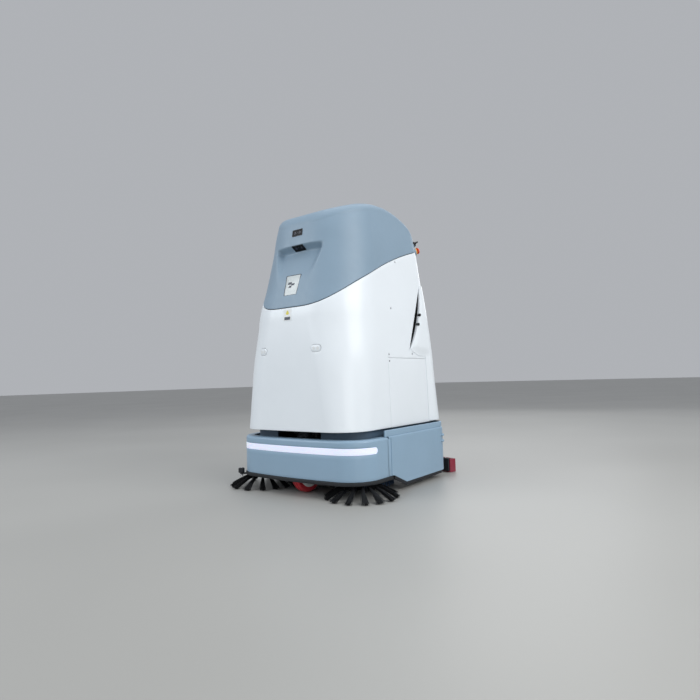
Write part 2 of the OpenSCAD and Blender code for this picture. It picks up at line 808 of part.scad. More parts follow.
arm_pivot_back = 640;
arm_pivot_z = 130;
swivel_back = 778;
module squeegee_arm() color(steel_grey) {
    at(-72, arm_pivot_back, arm_pivot_z) rotate([0, 90, 0]) cylinder(r = 6, h = 144);
    at(-50, arm_pivot_back, arm_pivot_z) rotate([0, 90, 0]) cylinder(r = 11, h = 100);
    difference() {
        mid_block(24, arm_pivot_back, 119, 155, 22);
        at(-50, arm_pivot_back, arm_pivot_z) rotate([0, 90, 0]) cylinder(r = 10, h = 100);
    }
    post(0, swivel_back, 45, 10, 77);
    post(0, swivel_back, 44, 16, 7.9);
}

// Arc-shaped bar between two radii about the squeegee's centre
module squeegee_arc(inner, outer, low, high, half_angle) at(0, squeegee_centre, low)
    linear_extrude(high - low) intersection() {
        difference() {
            circle(outer, $fn = 360);
            circle(inner, $fn = 360);
        }
        polygon([[0, 0], 1200 * [-sin(half_angle), cos(half_angle)],
            1200 * [sin(half_angle), cos(half_angle)]]);
    }

module squeegee_body() color(trim_black) difference() {
    union() {
        squeegee_arc(squeegee_r - 34, squeegee_r - 4, 34, 60, squeegee_half_angle - 0.3);
        mid_block(44, 758, 52, 60, 8);
        post(0, swivel_back, 52, 22, 22);
        post(0, 818, 59, 19, 34);
        for (side = [-1, 1]) intersection() {
            squeegee_arc(squeegee_r - 44, squeegee_r - 37.6, 6, 66, squeegee_half_angle);
            block([side > 0 ? 270 : -400, 600, 0], [130, 300, 100]);
        }
        for (side = [-1, 1]) intersection() {
            squeegee_arc(squeegee_r - 38, squeegee_r - 33, 46, 60, squeegee_half_angle - 0.3);
            block([side > 0 ? 270 : -400, 600, 0], [130, 300, 100]);
        }
    }
    post(0, swivel_back, 40, 10 + run_gap, 60);
    post(0, 818, 30, 15, 80);
}

module front_blade() color(signal_red)
    squeegee_arc(squeegee_r - 37.5, squeegee_r - 34, 1, 46, squeegee_half_angle - 0.3);

module rear_blade() color(signal_red) {
    squeegee_arc(squeegee_r - 4, squeegee_r, 1, 62, squeegee_half_angle);
    difference() {
        squeegee_arc(squeegee_r - 34, squeegee_r, 1, 62, squeegee_half_angle);
        squeegee_arc(squeegee_r - 60, squeegee_r + 10, 0, 80, squeegee_half_angle - 0.3);
    }
}

// ---- Inside the body ----

module hollow_tank(half_w, front, rear, low, high, front_r, rear_r) difference() {
    at(0, 0, low) linear_extrude(high - low) rounded_plan(half_w, front, rear, front_r, rear_r);
    at(0, 0, low + 5) linear_extrude(high - low) rounded_plan(half_w - 5, front + 5, rear - 5,
        front_r - 5, rear_r - 5);
}

module clean_water_tank() color("#dfe7ec") {
    hollow_tank(200, 50, 352, 300, 690, 140, 20);
    at(0, 0, 690) linear_extrude(6) rounded_plan(200, 50, 352, 140, 20);
    post(-120, 290, 690, 32, 22);
}

module recovery_tank() color("#9aa7b2") {
    hollow_tank(180, 390, 660, 469, 900, 20, 60);
    at(0, 0, 900) linear_extrude(6) rounded_plan(180, 390, 660, 20, 60);
    post(90, 500, 900, 55, 20);
}

module battery_pack() color(trim_black) {
    mid_block(170, 400, 258, 240, 170);
    both_sides() block([60, 400, 428], [60, 30, 12]);
}

module control_box() color(trim_black) {
    mid_block(130, 96, 712, 90, 120);
    both_sides() block([60, 96, 832], [40, 60, 8]);
}

module vacuum_motor() color("#333a40") {
    post(0, 282, 700, 70, 80);
    post(0, 282, 780, 52, 60);
    block([-28, 330, 720], [56, 59, 40]);
}

module water_pump() color("#333a40") {
    post(-170, 300, 257.5, 30, 34);
    block([-150, 285, 264], [70, 30, 24]);
}

chassis_frame();
body_frame();
top_deck();
neck_wall();
side_panel_right();
side_panel_left();
rear_panel();
side_skirts();
bumper_shell();
light_strip();
bumper_strip();
corner_roller();
lidar_base();
lidar_head();
body_shell();
grab_recesses();
service_panel_right();
service_panel_left();
rear_cover();
cover_catches();
hood();
hinge_pins();
upper_camera();
lower_camera();
badge_plate();
ultrasonic_sensors();
touch_screen();
estop_collar();
estop_button();
power_knob_base();
power_knob();
steering_fork();
steering_gear();
steering_pinion();
steering_motor();
front_tyre();
front_hub();
rear_tyre_right();
rear_tyre_left();
rear_hub_right();
rear_hub_left();
rear_axles();
side_brush_right();
side_brush_left();
side_brush_motors();
scrub_deck();
scrub_motors();
scrub_brush_right();
scrub_brush_left();
squeegee_arm();
squeegee_body();
front_blade();
rear_blade();
clean_water_tank();
recovery_tank();
panel_screws();
battery_pack();
control_box();
vacuum_motor();
water_pump();
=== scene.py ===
from math import acos, asin, atan, atan2, copysign, cos, degrees, pi, radians, sin, sqrt, tan

import bmesh
import bpy
import numpy as np
from mathutils import Matrix, Vector


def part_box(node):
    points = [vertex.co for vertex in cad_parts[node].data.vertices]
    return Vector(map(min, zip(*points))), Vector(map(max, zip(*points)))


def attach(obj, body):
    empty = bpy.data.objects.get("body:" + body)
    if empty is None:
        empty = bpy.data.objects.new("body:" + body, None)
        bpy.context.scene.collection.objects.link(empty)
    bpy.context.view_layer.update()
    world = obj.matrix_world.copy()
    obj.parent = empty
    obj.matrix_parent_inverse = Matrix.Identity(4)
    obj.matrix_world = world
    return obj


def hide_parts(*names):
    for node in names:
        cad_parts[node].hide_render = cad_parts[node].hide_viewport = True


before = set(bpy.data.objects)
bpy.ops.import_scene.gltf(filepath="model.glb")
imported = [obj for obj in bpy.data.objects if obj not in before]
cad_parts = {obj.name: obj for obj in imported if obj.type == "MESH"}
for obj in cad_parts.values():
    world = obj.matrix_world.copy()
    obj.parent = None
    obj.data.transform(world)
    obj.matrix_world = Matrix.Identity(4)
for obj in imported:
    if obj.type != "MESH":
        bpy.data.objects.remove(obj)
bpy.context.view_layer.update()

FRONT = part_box("light_strip")[0].y * 1000
scene = bpy.context.scene

# All shapes are drawn in millimetres as (x, distance behind the base front, height).
SIDES = ((1, "right"), (-1, "left"))
BODY_LOW, SCREW_HOLE, FLOOR_HALF = 250, 4.6, 40


def given(thing, **values):
    """Sets the values on the thing and hands it back."""
    for key, value in values.items():
        setattr(thing, key, value)
    return thing


def linked(name, data):
    """New object in the scene."""
    ob = bpy.data.objects.new(name, data)
    scene.collection.objects.link(ob)
    return ob


# ---- materials
class Nodes:
    """Emptied node tree of a new material or world, and ways to add to it."""

    def __init__(self, owner):
        owner.use_nodes = True
        self.owner, self.tree = owner, owner.node_tree
        self.tree.nodes.clear()

    def put(self, node, inputs):
        """Gives each input its value, or its link where the value is a socket."""
        for key, value in inputs.items():
            if isinstance(value, bpy.types.NodeSocket):
                self.tree.links.new(value, node.inputs[key])
            else:
                node.inputs[key].default_value = value
        return node.outputs

    def node(self, kind, inputs, **settings):
        return self.put(given(self.tree.nodes.new("ShaderNode" + kind), **settings), inputs)

    def ramp(self, source, low, high, a, b):
        return self.node("MapRange", {"Value": source, "From Min": low, "From Max": high, "To Min": a,
            "To Max": b})["Result"]

    def noise(self, scale, detail, rough=0.55, stretch=None):
        coord = self.node("TexCoord", {})["Object"]
        if stretch:
            coord = self.node("Mapping", {"Vector": coord, "Scale": stretch})["Vector"]
        return self.node("TexNoise", {"Scale": scale, "Detail": detail, "Roughness": rough,
            "Vector": coord})["Fac"]

    def mix(self, fac, *colours):
        a, b = ((*c, 1) if isinstance(c, tuple) else c for c in colours)
        return self.node("Mix", {"Factor": fac, "A": a, "B": b}, data_type="RGBA")["Result"]

    def times(self, a, b):
        return self.node("Math", {0: a, 1: b}, operation="MULTIPLY")[0]

    def surface(self, inputs):
        """Puts a surface shader with these inputs on the material."""
        self.node("OutputMaterial", {"Surface": self.node("BsdfPrincipled", inputs)["BSDF"]})
        return self.owner


def tint(colour, factor, plus=0):
    return tuple(min(1, c * factor + plus) for c in colour)


def material(name, colour, rough=0.5, metallic=0, coat=0, cloud=0.05, bump=0.08, grain=900,
        smudge=0.1, wear=0, dust=0, stretch=None, glow=None, soft=0, shine=0.5):
    """cloud, grain and bump set the mottling, smudge the gloss; wear pales edges and dust lies low down."""
    m = Nodes(bpy.data.materials.new(name))
    broad, blotch, fine = m.noise(5, 5), m.noise(42, 6, 0.6), m.noise(grain, 2, 0.5, stretch)
    base = m.mix(m.ramp(broad, 0.3, 0.7, 0, 1), tint(colour, 1 - cloud), tint(colour, 1 + cloud))
    base = m.mix(m.ramp(fine, 0.35, 0.65, 0, 0.6 * cloud), base, tint(colour, 0.72))
    if wear:
        edge = m.ramp(m.node("NewGeometry", {})["Pointiness"], 0.52, 0.58, 0, wear)
        base = m.mix(m.times(edge, m.ramp(blotch, 0.4, 0.6, 0.2, 1)), base, tint(colour, 1.5, 0.08))
    if dust:
        place = m.node("TexCoord", {})["Object"]
        low = m.ramp(m.node("SeparateXYZ", {"Vector": place})["Z"], 0, 0.16, dust, 0)
        base = m.mix(m.times(low, m.ramp(blotch, 0.35, 0.65, 0.25, 1)), base, (0.42, 0.40, 0.37))
    inputs = {
        "Base Color": base,
        "Roughness": m.ramp(blotch, 0.3, 0.7, max(0.03, rough - smudge), min(1, rough + smudge)),
        "Metallic": metallic,
        "Coat Weight": coat,
        "Coat Roughness": 0.12,
        "Specular IOR Level": shine,
        "Normal": m.node("Bump", {"Strength": bump, "Distance": 0.0006, "Height": fine})["Normal"],
    }
    if soft:
        inputs |= {"Subsurface Weight": soft, "Subsurface Scale": 0.004}
    if glow:
        *tone, power = glow
        inputs["Emission Color"] = (*tone, 1)
        inputs["Emission Strength"] = m.ramp(broad, 0.3, 0.7, power * 0.93, power * 1.07)
    return m.surface(inputs)


MAT = {
    "white": material("body_white", (0.845, 0.9, 0.945), 0.34, coat=0.15, cloud=0.012, bump=0.03, grain=700,
        smudge=0.05),
    "hood": material("hood_grey_blue", (0.25, 0.352, 0.45), 0.46, cloud=0.03, bump=0.14, grain=1100,
        smudge=0.06, wear=0.12),
    "base": material("base_grey_blue", (0.276, 0.408, 0.535), 0.36, cloud=0.03, bump=0.14, grain=1100,
        smudge=0.07, wear=0.12, dust=0.05),
    "black": material("black_trim", (0.013, 0.015, 0.019), 0.52, cloud=0.15, bump=0.22, grain=1300,
        smudge=0.12, wear=0.06, shine=0.35),
    "strip": material("bumper_rubber", (0.012, 0.015, 0.019), 0.6, cloud=0.2, bump=0.25, grain=1000,
        smudge=0.12, wear=0.06, dust=0.05, shine=0.3),
    "light": material("light_diffuser", (0.78, 0.8, 0.93), 0.38, cloud=0.02, bump=0.05, grain=600,
        glow=(0.72, 0.8, 1, 0.3), soft=0.2),
    "glass": material("dark_glass", (0.004, 0.005, 0.007), 0.34, cloud=0.1, bump=0.01, smudge=0.05,
        shine=0.12),
    "lens": material("lens_glass", (0.006, 0.009, 0.026), 0.12, cloud=0.2, bump=0, smudge=0.02),
    "rim": material("window_rim", (0.05, 0.06, 0.075), 0.35, cloud=0.04, bump=0.05, smudge=0.05),
    "yellow": material("collar_yellow", (0.8, 0.36, 0.03), 0.42, cloud=0.04, wear=0.2),
    "red": material("signal_red", (0.72, 0.06, 0.03), 0.3, coat=0.3, bump=0.05, wear=0.12),
    "tyre_red": material("red_tyre", (0.5, 0.012, 0.026), 0.5, cloud=0.1, bump=0.25, grain=500, wear=0.2,
        dust=0.1),
    "blade": material("red_blade", (0.27, 0.008, 0.035), 0.42, cloud=0.1, bump=0.1, grain=400, soft=0.15,
        dust=0.1),
    "hub": material("hub_nylon", (0.8, 0.82, 0.8), 0.42, cloud=0.04, bump=0.1, dust=0.06),
    "tyre": material("dark_tyre", (0.028, 0.029, 0.031), 0.68, cloud=0.2, bump=0.35, grain=700, wear=0.3,
        dust=0.35),
    "steel": material("frame_steel", (0.105, 0.115, 0.13), 0.48, metallic=0.25, cloud=0.12, bump=0.22,
        grain=800, wear=0.5, dust=0.2),
    "bright": material("bright_steel", (0.56, 0.57, 0.59), 0.3, metallic=1, cloud=0.08, bump=0.12,
        grain=500, stretch=(1, 1, 22), wear=0.3),
    "motor": material("motor_case", (0.04, 0.044, 0.05), 0.45, metallic=0.15, cloud=0.15, bump=0.25,
        grain=600, wear=0.35),
    "bristle": material("side_bristle", (0.007, 0.008, 0.01), 0.5, cloud=0.35, bump=0.05, dust=0.02,
        shine=0.25),
    "scrub": material("scrub_bristle", (0.03, 0.085, 0.19), 0.55, cloud=0.25, bump=0.05, dust=0.15),
    "tank": material("tank_plastic", (0.55, 0.6, 0.63), 0.5, bump=0.25, grain=450, wear=0.1),
    "case": material("case_black", (0.03, 0.033, 0.038), 0.5, cloud=0.12, bump=0.35, wear=0.25),
    "badge": material("badge_face", (0.6, 0.655, 0.665), 0.26, coat=0.4, cloud=0.02, bump=0.02, smudge=0.04),
    # the neck wall's colour is darkened to paint the shade under the body's overhang
    "neck": material("neck_painted_shade", (0.06, 0.1, 0.15), 0.55, cloud=0.06, bump=0.15, smudge=0.08),
    # dark print, also used for the ring round the badge that paints the shadow line at its edge
    "mark": material("dark_print_and_painted_shadow", (0.028, 0.036, 0.06), 0.4, cloud=0.2, bump=0.04),
    "label": material("label_film", (0.8, 0.83, 0.84), 0.34, cloud=0.02, bump=0.04),
    "caution": material("label_yellow", (0.72, 0.62, 0.06), 0.4, bump=0.04),
}


# ---- shape laws
class Law:
    """Smooth curve through [position, value] pairs that never overshoots them."""

    def __init__(self, pairs):
        self.x, self.y = np.array(pairs, float).T
        step, rise = np.diff(self.x), np.diff(self.y)
        slope = rise / step
        m = np.empty(len(self.x))
        m[0], m[-1] = slope[0], slope[-1]
        a, b = slope[:-1], slope[1:]
        m[1:-1] = np.where(a * b > 0, 2 * a * b / np.where(a + b == 0, 1, a + b), 0)
        self.m = m

    def __call__(self, v):
        v = np.clip(np.asarray(v, float), self.x[0], self.x[-1])
        i = np.clip(np.searchsorted(self.x, v) - 1, 0, len(self.x) - 2)
        h = self.x[i + 1] - self.x[i]
        t = (v - self.x[i]) / h
        return ((2 * t**3 - 3 * t**2 + 1) * self.y[i] + (t**3 - 2 * t**2 + t) * h * self.m[i]
            + (3 * t**2 - 2 * t**3) * self.y[i + 1] + (t**3 - t**2) * h * self.m[i + 1])


HALF_W = Law([[250, 303], [500, 297], [700, 280], [850, 262], [1000, 245], [1100, 230], [1200, 214]])
FACE = Law([[250, 4], [500, 4], [700, 6], [740, 11], [830, 35], [1000, 68], [1050, 74], [1130, 92]])
BACK = Law([[250, 735], [500, 707], [650, 703], [850, 701], [1000, 695], [1060, 690]])
CORNER = Law([[250, 125], [500, 166], [700, 200], [1000, 200], [1100, 190]])
SEAM = Law([[0, 737], [12, 738], [30, 752], [69, 781], [140, 830], [230, 877], [320, 920], [470, 980],
    [620, 1029], [655, 1039], [678, 1039], [690, 1037], [720, 1037]])
ROOF = Law([[85, 1120], [110, 1134], [150, 1149], [250, 1178], [350, 1195], [410, 1198], [470, 1192],
    [540, 1176], [590, 1154], [630, 1122], [660, 1084], [695, 1036]])
BOW, REAR_R, ROOF_R, CROWN, GAP = 2, 100, 34, 5, 1.2


def outline(u, z, inset=0):
    """Point of the body's outline: u runs 0-5 from the front middle round +X to the rear, 5-10 back."""
    u, z = np.broadcast_arrays(np.asarray(u, float), np.asarray(z, float))
    v = np.where(u > 5, 10 - u, u)
    w, f = HALF_W(z) - inset, FACE(z) + inset
    b, r, q = BACK(z) - inset, CORNER(z) - inset, REAR_R - inset
    a1, a2 = (v - 1) * pi / 2, (v - 3) * pi / 2
    k = 5 - v
    x = np.select([v <= 1, v <= 2, v <= 3, v <= 4], [(w - r) * v, w - r + r * np.sin(a1), w,
        w - q + q * np.cos(a2)], (w - q) * k)
    y = np.select([v <= 1, v <= 2, v <= 3, v <= 4], [f - BOW * (1 - v * v), f + r - r * np.cos(a1),
        (f + r) + (b - q - f - r) * (v - 2), b - q + q * np.sin(a2)], b + BOW * (1 - k * k))
    return np.where(u > 5, -x, x), y


def smooth_seam():
    """Height of the hood's lower edge round the outline, eased along its length."""
    u = np.linspace(-5, 15, 2001)
    z = np.full(u.shape, 850)
    for _ in range(6):
        z = SEAM(outline(u % 10, z)[1])
    x, y = outline(u % 10, z)
    run = np.concatenate([[0], np.cumsum(np.hypot(np.diff(x), np.diff(y)))])
    even = np.linspace(0, run[-1], 2401)
    reach = np.arange(-60, 61) * (even[1] - even[0])
    weight = np.exp(-0.5 * (reach / 34) ** 2)
    eased = np.convolve(np.interp(even, run, z), weight / weight.sum(), "same")
    eased = np.interp(run, even, eased)
    share = np.clip((y - 380) / 160, 0, 1)
    return u, eased + (z - eased) * share


SEAM_U, SEAM_AT = smooth_seam()


def seam_z(u):
    return np.interp(u, SEAM_U, SEAM_AT)


def rim_z(u):
    z = np.full(np.shape(u), 1100)
    for _ in range(6):
        z = np.maximum(ROOF(outline(u, z)[1]) - ROOF_R, seam_z(u) + 8)
    return z


def ring(counts):
    """Ring of u values with that many steps in each of the five stretches of a half."""
    half = np.concatenate([np.linspace(i, i + 1, n, endpoint=False) for i, n in enumerate(counts)] + [[5]])
    return np.concatenate([half, 10 - half[1:-1][::-1]])


# ---- mesh building
class Piece:
    """Collects vertices and faces, then becomes an object that rides on a body."""

    def __init__(self):
        self.v, self.f, self.m = [], [], []

    def add(self, shape, mat=0, at=None, flip=False):
        verts, faces = shape
        start = len(self.v)
        if at is not None:
            verts = [at @ Vector(p) for p in verts]
        self.v.extend(tuple(p) for p in verts)
        for f in faces:
            f = [i + start for i in f]
            self.f.append(f[::-1] if flip else f)
            self.m.append(mat)
        return self

    def both(self, shape, mat=0, at=None):
        """Adds the shape and its mirror image across the middle."""
        start = len(self.v)
        self.add(shape, mat, at)
        return self.add(([(-x, y, z) for x, y, z in self.v[start:]], shape[1]), mat, flip=True)

    def mesh(self, name, mats, fix=True, sharp=32):
        me = bpy.data.meshes.new(name)
        co = np.array(self.v, float)
        co[:, 1] += FRONT
        me.from_pydata((co / 1000).tolist(), [], self.f)
        for key in mats.split():
            me.materials.append(MAT[key])
        me.polygons.foreach_set("material_index", self.m)
        if fix:
            bm = bmesh.new()
            bm.from_mesh(me)
            bmesh.ops.recalc_face_normals(bm, faces=bm.faces)
            bm.to_mesh(me)
            bm.free()
        shade(me, sharp)
        return me

    def build(self, name, mats, body=None, nodes="", slot=None, fix=True, sharp=32):
        """mats holds keys of MAT and nodes the names of the CAD nodes that it takes the place of."""
        return settle(linked(name, self.mesh(name, mats, fix, sharp)), body, nodes)


def shade(me, sharp=32):
    me.polygons.foreach_set("use_smooth", [True] * len(me.polygons))
    me.set_sharp_from_angle(angle=radians(sharp))
    me.update()


def settle(ob, body, nodes):
    """Puts the object on its body, in the place of the CAD nodes."""
    if body:
        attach(ob, body)
    if nodes:
        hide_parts(*nodes.split())
    return ob


def baked(ob):
    """Applies the object's modifiers to its mesh."""
    bpy.context.view_layer.update()
    dg = bpy.context.evaluated_depsgraph_get()
    me = bpy.data.meshes.new_from_object(ob.evaluated_get(dg))
    ob.modifiers.clear()
    old, ob.data = ob.data, me
    me.name = ob.name
    bpy.data.meshes.remove(old)
    shade(me)
    return ob


def cut(ob, *pieces, keep=False):
    """Cuts each piece out of the object, or keeps only what is inside it."""
    tools = []
    for n, piece in enumerate(pieces):
        tool = linked(f"{ob.name}_tool{n}", piece.mesh("tool", ""))
        tool.data.materials.append(ob.data.materials[0])
        given(ob.modifiers.new("cut", "BOOLEAN"), operation="INTERSECT" if keep else "DIFFERENCE",
            solver="EXACT", object=tool)
        tools.append(tool)
    baked(ob)
    for tool in tools:
        bpy.data.objects.remove(tool)
    return ob


def thicken(ob, mm):
    given(ob.modifiers.new("wall", "SOLIDIFY"), thickness=mm / 1000, offset=-1, use_even_offset=True)
    return baked(ob)


def bevel(ob, mm, angle):
    given(ob.modifiers.new("edges", "BEVEL"), width=mm / 1000, segments=2, limit_method="ANGLE",
        angle_limit=radians(angle), use_clamp_overlap=True)


def round_edges(ob, mm, angle):
    bevel(ob, mm, angle)
    return baked(ob)


def grid(rows, wrap_u=False, wrap_v=False):
    """Quads over rows of points; wrap_u joins the ends of each row and wrap_v the last row to the first."""
    rows = [list(map(tuple, r)) for r in rows]
    n, k = len(rows[0]), len(rows)
    verts = [p for r in rows for p in r]
    faces = []
    for a in range(k if wrap_v else k - 1):
        b = (a + 1) % k
        for i in range(n if wrap_u else n - 1):
            j = (i + 1) % n
            faces.append((a * n + i, a * n + j, b * n + j, b * n + i))
    return verts, faces


def points(x, y, z):
    x, y, z = np.broadcast_arrays(x, y, z)
    return np.stack([x, y, z], axis=-1).astype(float)


def rounded(pts, r, seg, closed=True):
    """Polyline with its corners rounded; r is one radius or one for each point."""
    n = len(pts)
    radii = r if isinstance(r, (list, tuple)) else [r] * n
    out = []
    for i, p in enumerate(pts):
        if not closed and i in (0, n - 1) or radii[i] <= 0:
            out.append(tuple(p))
            continue
        p, a, b = Vector(p), Vector(pts[i - 1]), Vector(pts[(i + 1) % n])
        da, db = (a - p), (b - p)
        la, lb = da.length, db.length
        da, db = da / la, db / lb
        half = acos(max(-1, min(1, da.dot(db)))) / 2
        cutback = min(radii[i] / tan(half), la * 0.49, lb * 0.49)
        rad = cutback * tan(half)
        centre = p + (da + db).normalized() * (rad / sin(half))
        s, e = p + da * cutback - centre, p + db * cutback - centre
        total = s.angle_signed(e) if len(p) == 2 else 0
        for k in range(seg + 1):
            ang = -total * k / seg
            out.append(tuple(centre + Matrix.Rotation(ang, 2) @ s))
    return out


def spin(pts, radii, n, seg=3):
    """Solid of revolution with the corners of its profile rounded."""
    return lathe(rounded(pts, radii, seg, False), n)


def lathe(profile, seg):
    """Solid of revolution about Z from (radius, height) points."""
    verts, faces, rows = [], [], []
    for r, z in profile:
        if r < 1e-6:
            rows.append([len(verts)])
            verts.append((0, 0, z))
        else:
            rows.append(list(range(len(verts), len(verts) + seg)))
            verts += [(r * cos(2 * pi * k / seg), r * sin(2 * pi * k / seg), z) for k in range(seg)]
    for a, b in zip(rows, rows[1:]):
        for k in range(seg):
            j = (k + 1) % seg
            corners = (a[k % len(a)], b[k % len(b)], b[j % len(b)], a[j % len(a)])
            face = tuple(dict.fromkeys(corners))
            if len(face) > 2:
                faces.append(face)
    return verts, faces


def slab(pts, low, high, r, seg=2):
    """Flat plate with an outline of (x, y) points between two heights, its edges rounded."""
    bm = bmesh.new()
    face = bm.faces.new([bm.verts.new((p[0], p[1], low)) for p in pts])
    out = bmesh.ops.extrude_face_region(bm, geom=[face])
    for v in out["geom"]:
        if isinstance(v, bmesh.types.BMVert):
            v.co.z = high
    bmesh.ops.recalc_face_normals(bm, faces=bm.faces)
    if r > 0:
        edges = [e for e in bm.edges if len(e.link_faces) == 2 and e.calc_face_angle(0) > radians(25)]
        bmesh.ops.bevel(bm, geom=edges, offset=r, segments=seg, profile=0.5, affect="EDGES",
            clamp_overlap=True)
    bm.verts.index_update()
    shape = [tuple(v.co) for v in bm.verts], [[v.index for v in f.verts] for f in bm.faces]
    bm.free()
    return shape


def rect(w, h, r=0, seg=4, centre=(0, 0)):
    cx, cy = centre
    pts = [(cx + i * w / 2, cy + j * h / 2) for i, j in ((-1, -1), (1, -1), (1, 1), (-1, 1))]
    return rounded(pts, r, seg) if r > 0 else pts


def box(low, size, r=2, seg=3):
    x, y, z = size
    shape = slab(rect(x, y), 0, z, r, seg)
    return [(p[0] + low[0] + x / 2, p[1] + low[1] + y / 2, p[2] + low[2]) for p in shape[0]], shape[1]


def circle(r, n):
    return [(r * cos(radians(360 * k / n)), r * sin(radians(360 * k / n))) for k in range(n)]


def turn(axis, degrees):
    return Matrix.Rotation(radians(degrees), 4, axis)


def move(x, y, z):
    return Matrix.Translation((x, y, z))


def along_x(x, y, z):
    """Frame at a point with its Z along +X."""
    return move(x, y, z) @ turn("Y", 90)


def placed(place, angles):
    """Frame at a place, turned by angles about X, then Y, then Z."""
    return move(*place) @ turn("Z", angles[2]) @ turn("Y", angles[1]) @ turn("X", angles[0])


# ---- base outline
BASE_W, BASE_L, BOW_R, FR, RR = 330, 700, 2000, 120, 60
FC = (BASE_W - FR, BOW_R - sqrt((BOW_R - FR) ** 2 - (BASE_W - FR) ** 2))
BOW_A = atan2(FC[0], BOW_R - FC[1])
L1 = BOW_R * BOW_A
L2 = L1 + FR * (pi / 2 - BOW_A)
L3 = L2 + (BASE_L - RR - FC[1])
L4 = L3 + RR * pi / 2
L5 = L4 + BASE_W - RR


def base_path(t):
    """Point and outward normal of the base outline, t millimetres round it from the front middle."""
    side, s = copysign(1, t), abs(t)
    if s <= L1:
        a = s / BOW_R
        x, y, nx, ny = BOW_R * sin(a), BOW_R - BOW_R * cos(a), sin(a), -cos(a)
    elif s <= L2:
        a = BOW_A + (s - L1) / FR
        nx, ny = sin(a), -cos(a)
        x, y = FC[0] + FR * nx, FC[1] + FR * ny
    elif s <= L3:
        x, y, nx, ny = BASE_W, FC[1] + s - L2, 1, 0
    elif s <= L4:
        a = (s - L3) / RR
        nx, ny = cos(a), sin(a)
        x, y = BASE_W - RR + RR * nx, BASE_L - RR + RR * ny
    else:
        x, y, nx, ny = BASE_W - RR - (s - L4), BASE_L, 0, 1
    return side * x, y, side * nx, ny


def side_t(back):
    return L2 + back - FC[1]


def steps(a, b, step, extra=()):
    """Positions from a to b, closer together round the corners."""
    n = max(2, int(abs(b - a) / step))
    vals = set(np.round(np.linspace(a, b, n + 1), 4)) | {round(e, 4) for e in extra if a <= e <= b}
    return sorted(vals)


def sweep(ts, profile, path=base_path):
    """Closed profile of (inset, z) points, a function of t, carried along the path."""
    rows = []
    for t in ts:
        x, y, nx, ny = path(t)
        rows.append([(x - nx * i, y - ny * i, z) for i, z in profile(t)])
    verts, faces = grid(rows, wrap_u=True)
    n = len(rows[0])
    faces.append(tuple(range(n))[::-1])
    faces.append(tuple((len(rows) - 1) * n + i for i in range(n)))
    return verts, faces


# ---- white body
def body_skin():
    """Closed wall of the body up to the hood seam, with rolled edges."""
    u = ring((8, 40, 44, 20, 14))
    top = seam_z(u) - GAP
    low = np.full(u.shape, BODY_LOW)
    rows, count = [], 56

    def row(inset, z):
        rows.append(points(*outline(u, z, inset), z))

    for k in range(count + 1):
        row(0, low + 2.5 + (top - low - 5) * k / count)
    roll = [(2.5 * (1 - cos(a)), 2.5 - 2.5 * sin(a)) for a in np.radians((25, 50, 75))]
    for inset, drop in roll:
        row(inset, top - drop)
    row(3.5, top)
    for k in range(13):
        row(5, top - 1.5 + (low + 1.5 - top + 1.5) * k / 12)
    for inset, drop in roll[::-1]:
        row(inset, low + drop)
    return Piece().add(grid(rows, wrap_u=True, wrap_v=True))


def side_prism(pts, inner=None):
    """Prism along X with an outline of (back, z) points; one on each side if inner is given."""
    x0, n = -500 if inner is None else inner, len(pts)
    verts = [(x, *p) for x in (x0, 500) for p in pts]
    faces = [tuple(range(n)), tuple(range(2 * n - 1, n - 1, -1))]
    faces += [(i, n + i, n + (i + 1) % n, (i + 1) % n) for i in range(n)]
    return (Piece().add if inner is None else Piece().both)((verts, faces))


SERVICE = (268, 580, 530)
RECESS_MID, RECESS_TILT, RECESS_LEAN = (274, 525, 709), 6.2, 28.2


def recess_frame():
    """Frame of the right finger recess: X along the leaning width, Y up its length, Z outward."""
    return (move(*RECESS_MID) @ turn("Y", -RECESS_TILT) @ turn("X", 90) @ turn("Y", 90)
        @ turn("Z", -RECESS_LEAN))


def lens_outline(grow):
    """Crescent of the finger recess, its tips at half its length from the middle."""
    half, front_sag, rear_sag, n = 172, 2, 25, 28
    fr = (half**2 + front_sag**2) / (2 * front_sag)
    rr = (half**2 + rear_sag**2) / (2 * rear_sag)
    pts = []
    for k in range(n + 1):
        y = -half + 2 * half * k / n
        pts.append((rear_sag - rr + sqrt(rr**2 - y**2) + grow, y * (1 + grow / half)))
    for k in range(1, n):
        y = half - 2 * half * k / n
        pts.append((fr - front_sag - sqrt(fr**2 - y**2) - grow, y * (1 + grow / half)))
    return pts


def recess_tool(grow=0):
    return Piece().both(slab(lens_outline(grow), -30, 60, 0), at=recess_frame())


def screw_tools(spots, r):
    piece = Piece()
    for back, z in spots:
        piece.both(slab(circle(r, 24), 100, 500, 0), at=along_x(0, back, z))
    return piece


SCREWS = [(280, 543), (468, 549), (335, 737), (420, 949)]
PANEL_SCREW = (280, 516)
SENSOR_X, SENSOR_Z = 140, 568
CATCHES = [(563, 727), (540, 683)]
ESTOP = placed((204.5, 666.5, 1044), (0, 72, 52))
KNOB = placed((194, 667, 1076), (0, 56, 62))


def stadium(grow):
    w, h = 44, 28
    return rounded(rect(w + 2 * grow, h + 2 * grow), h / 2 + grow - 0.01, 10)


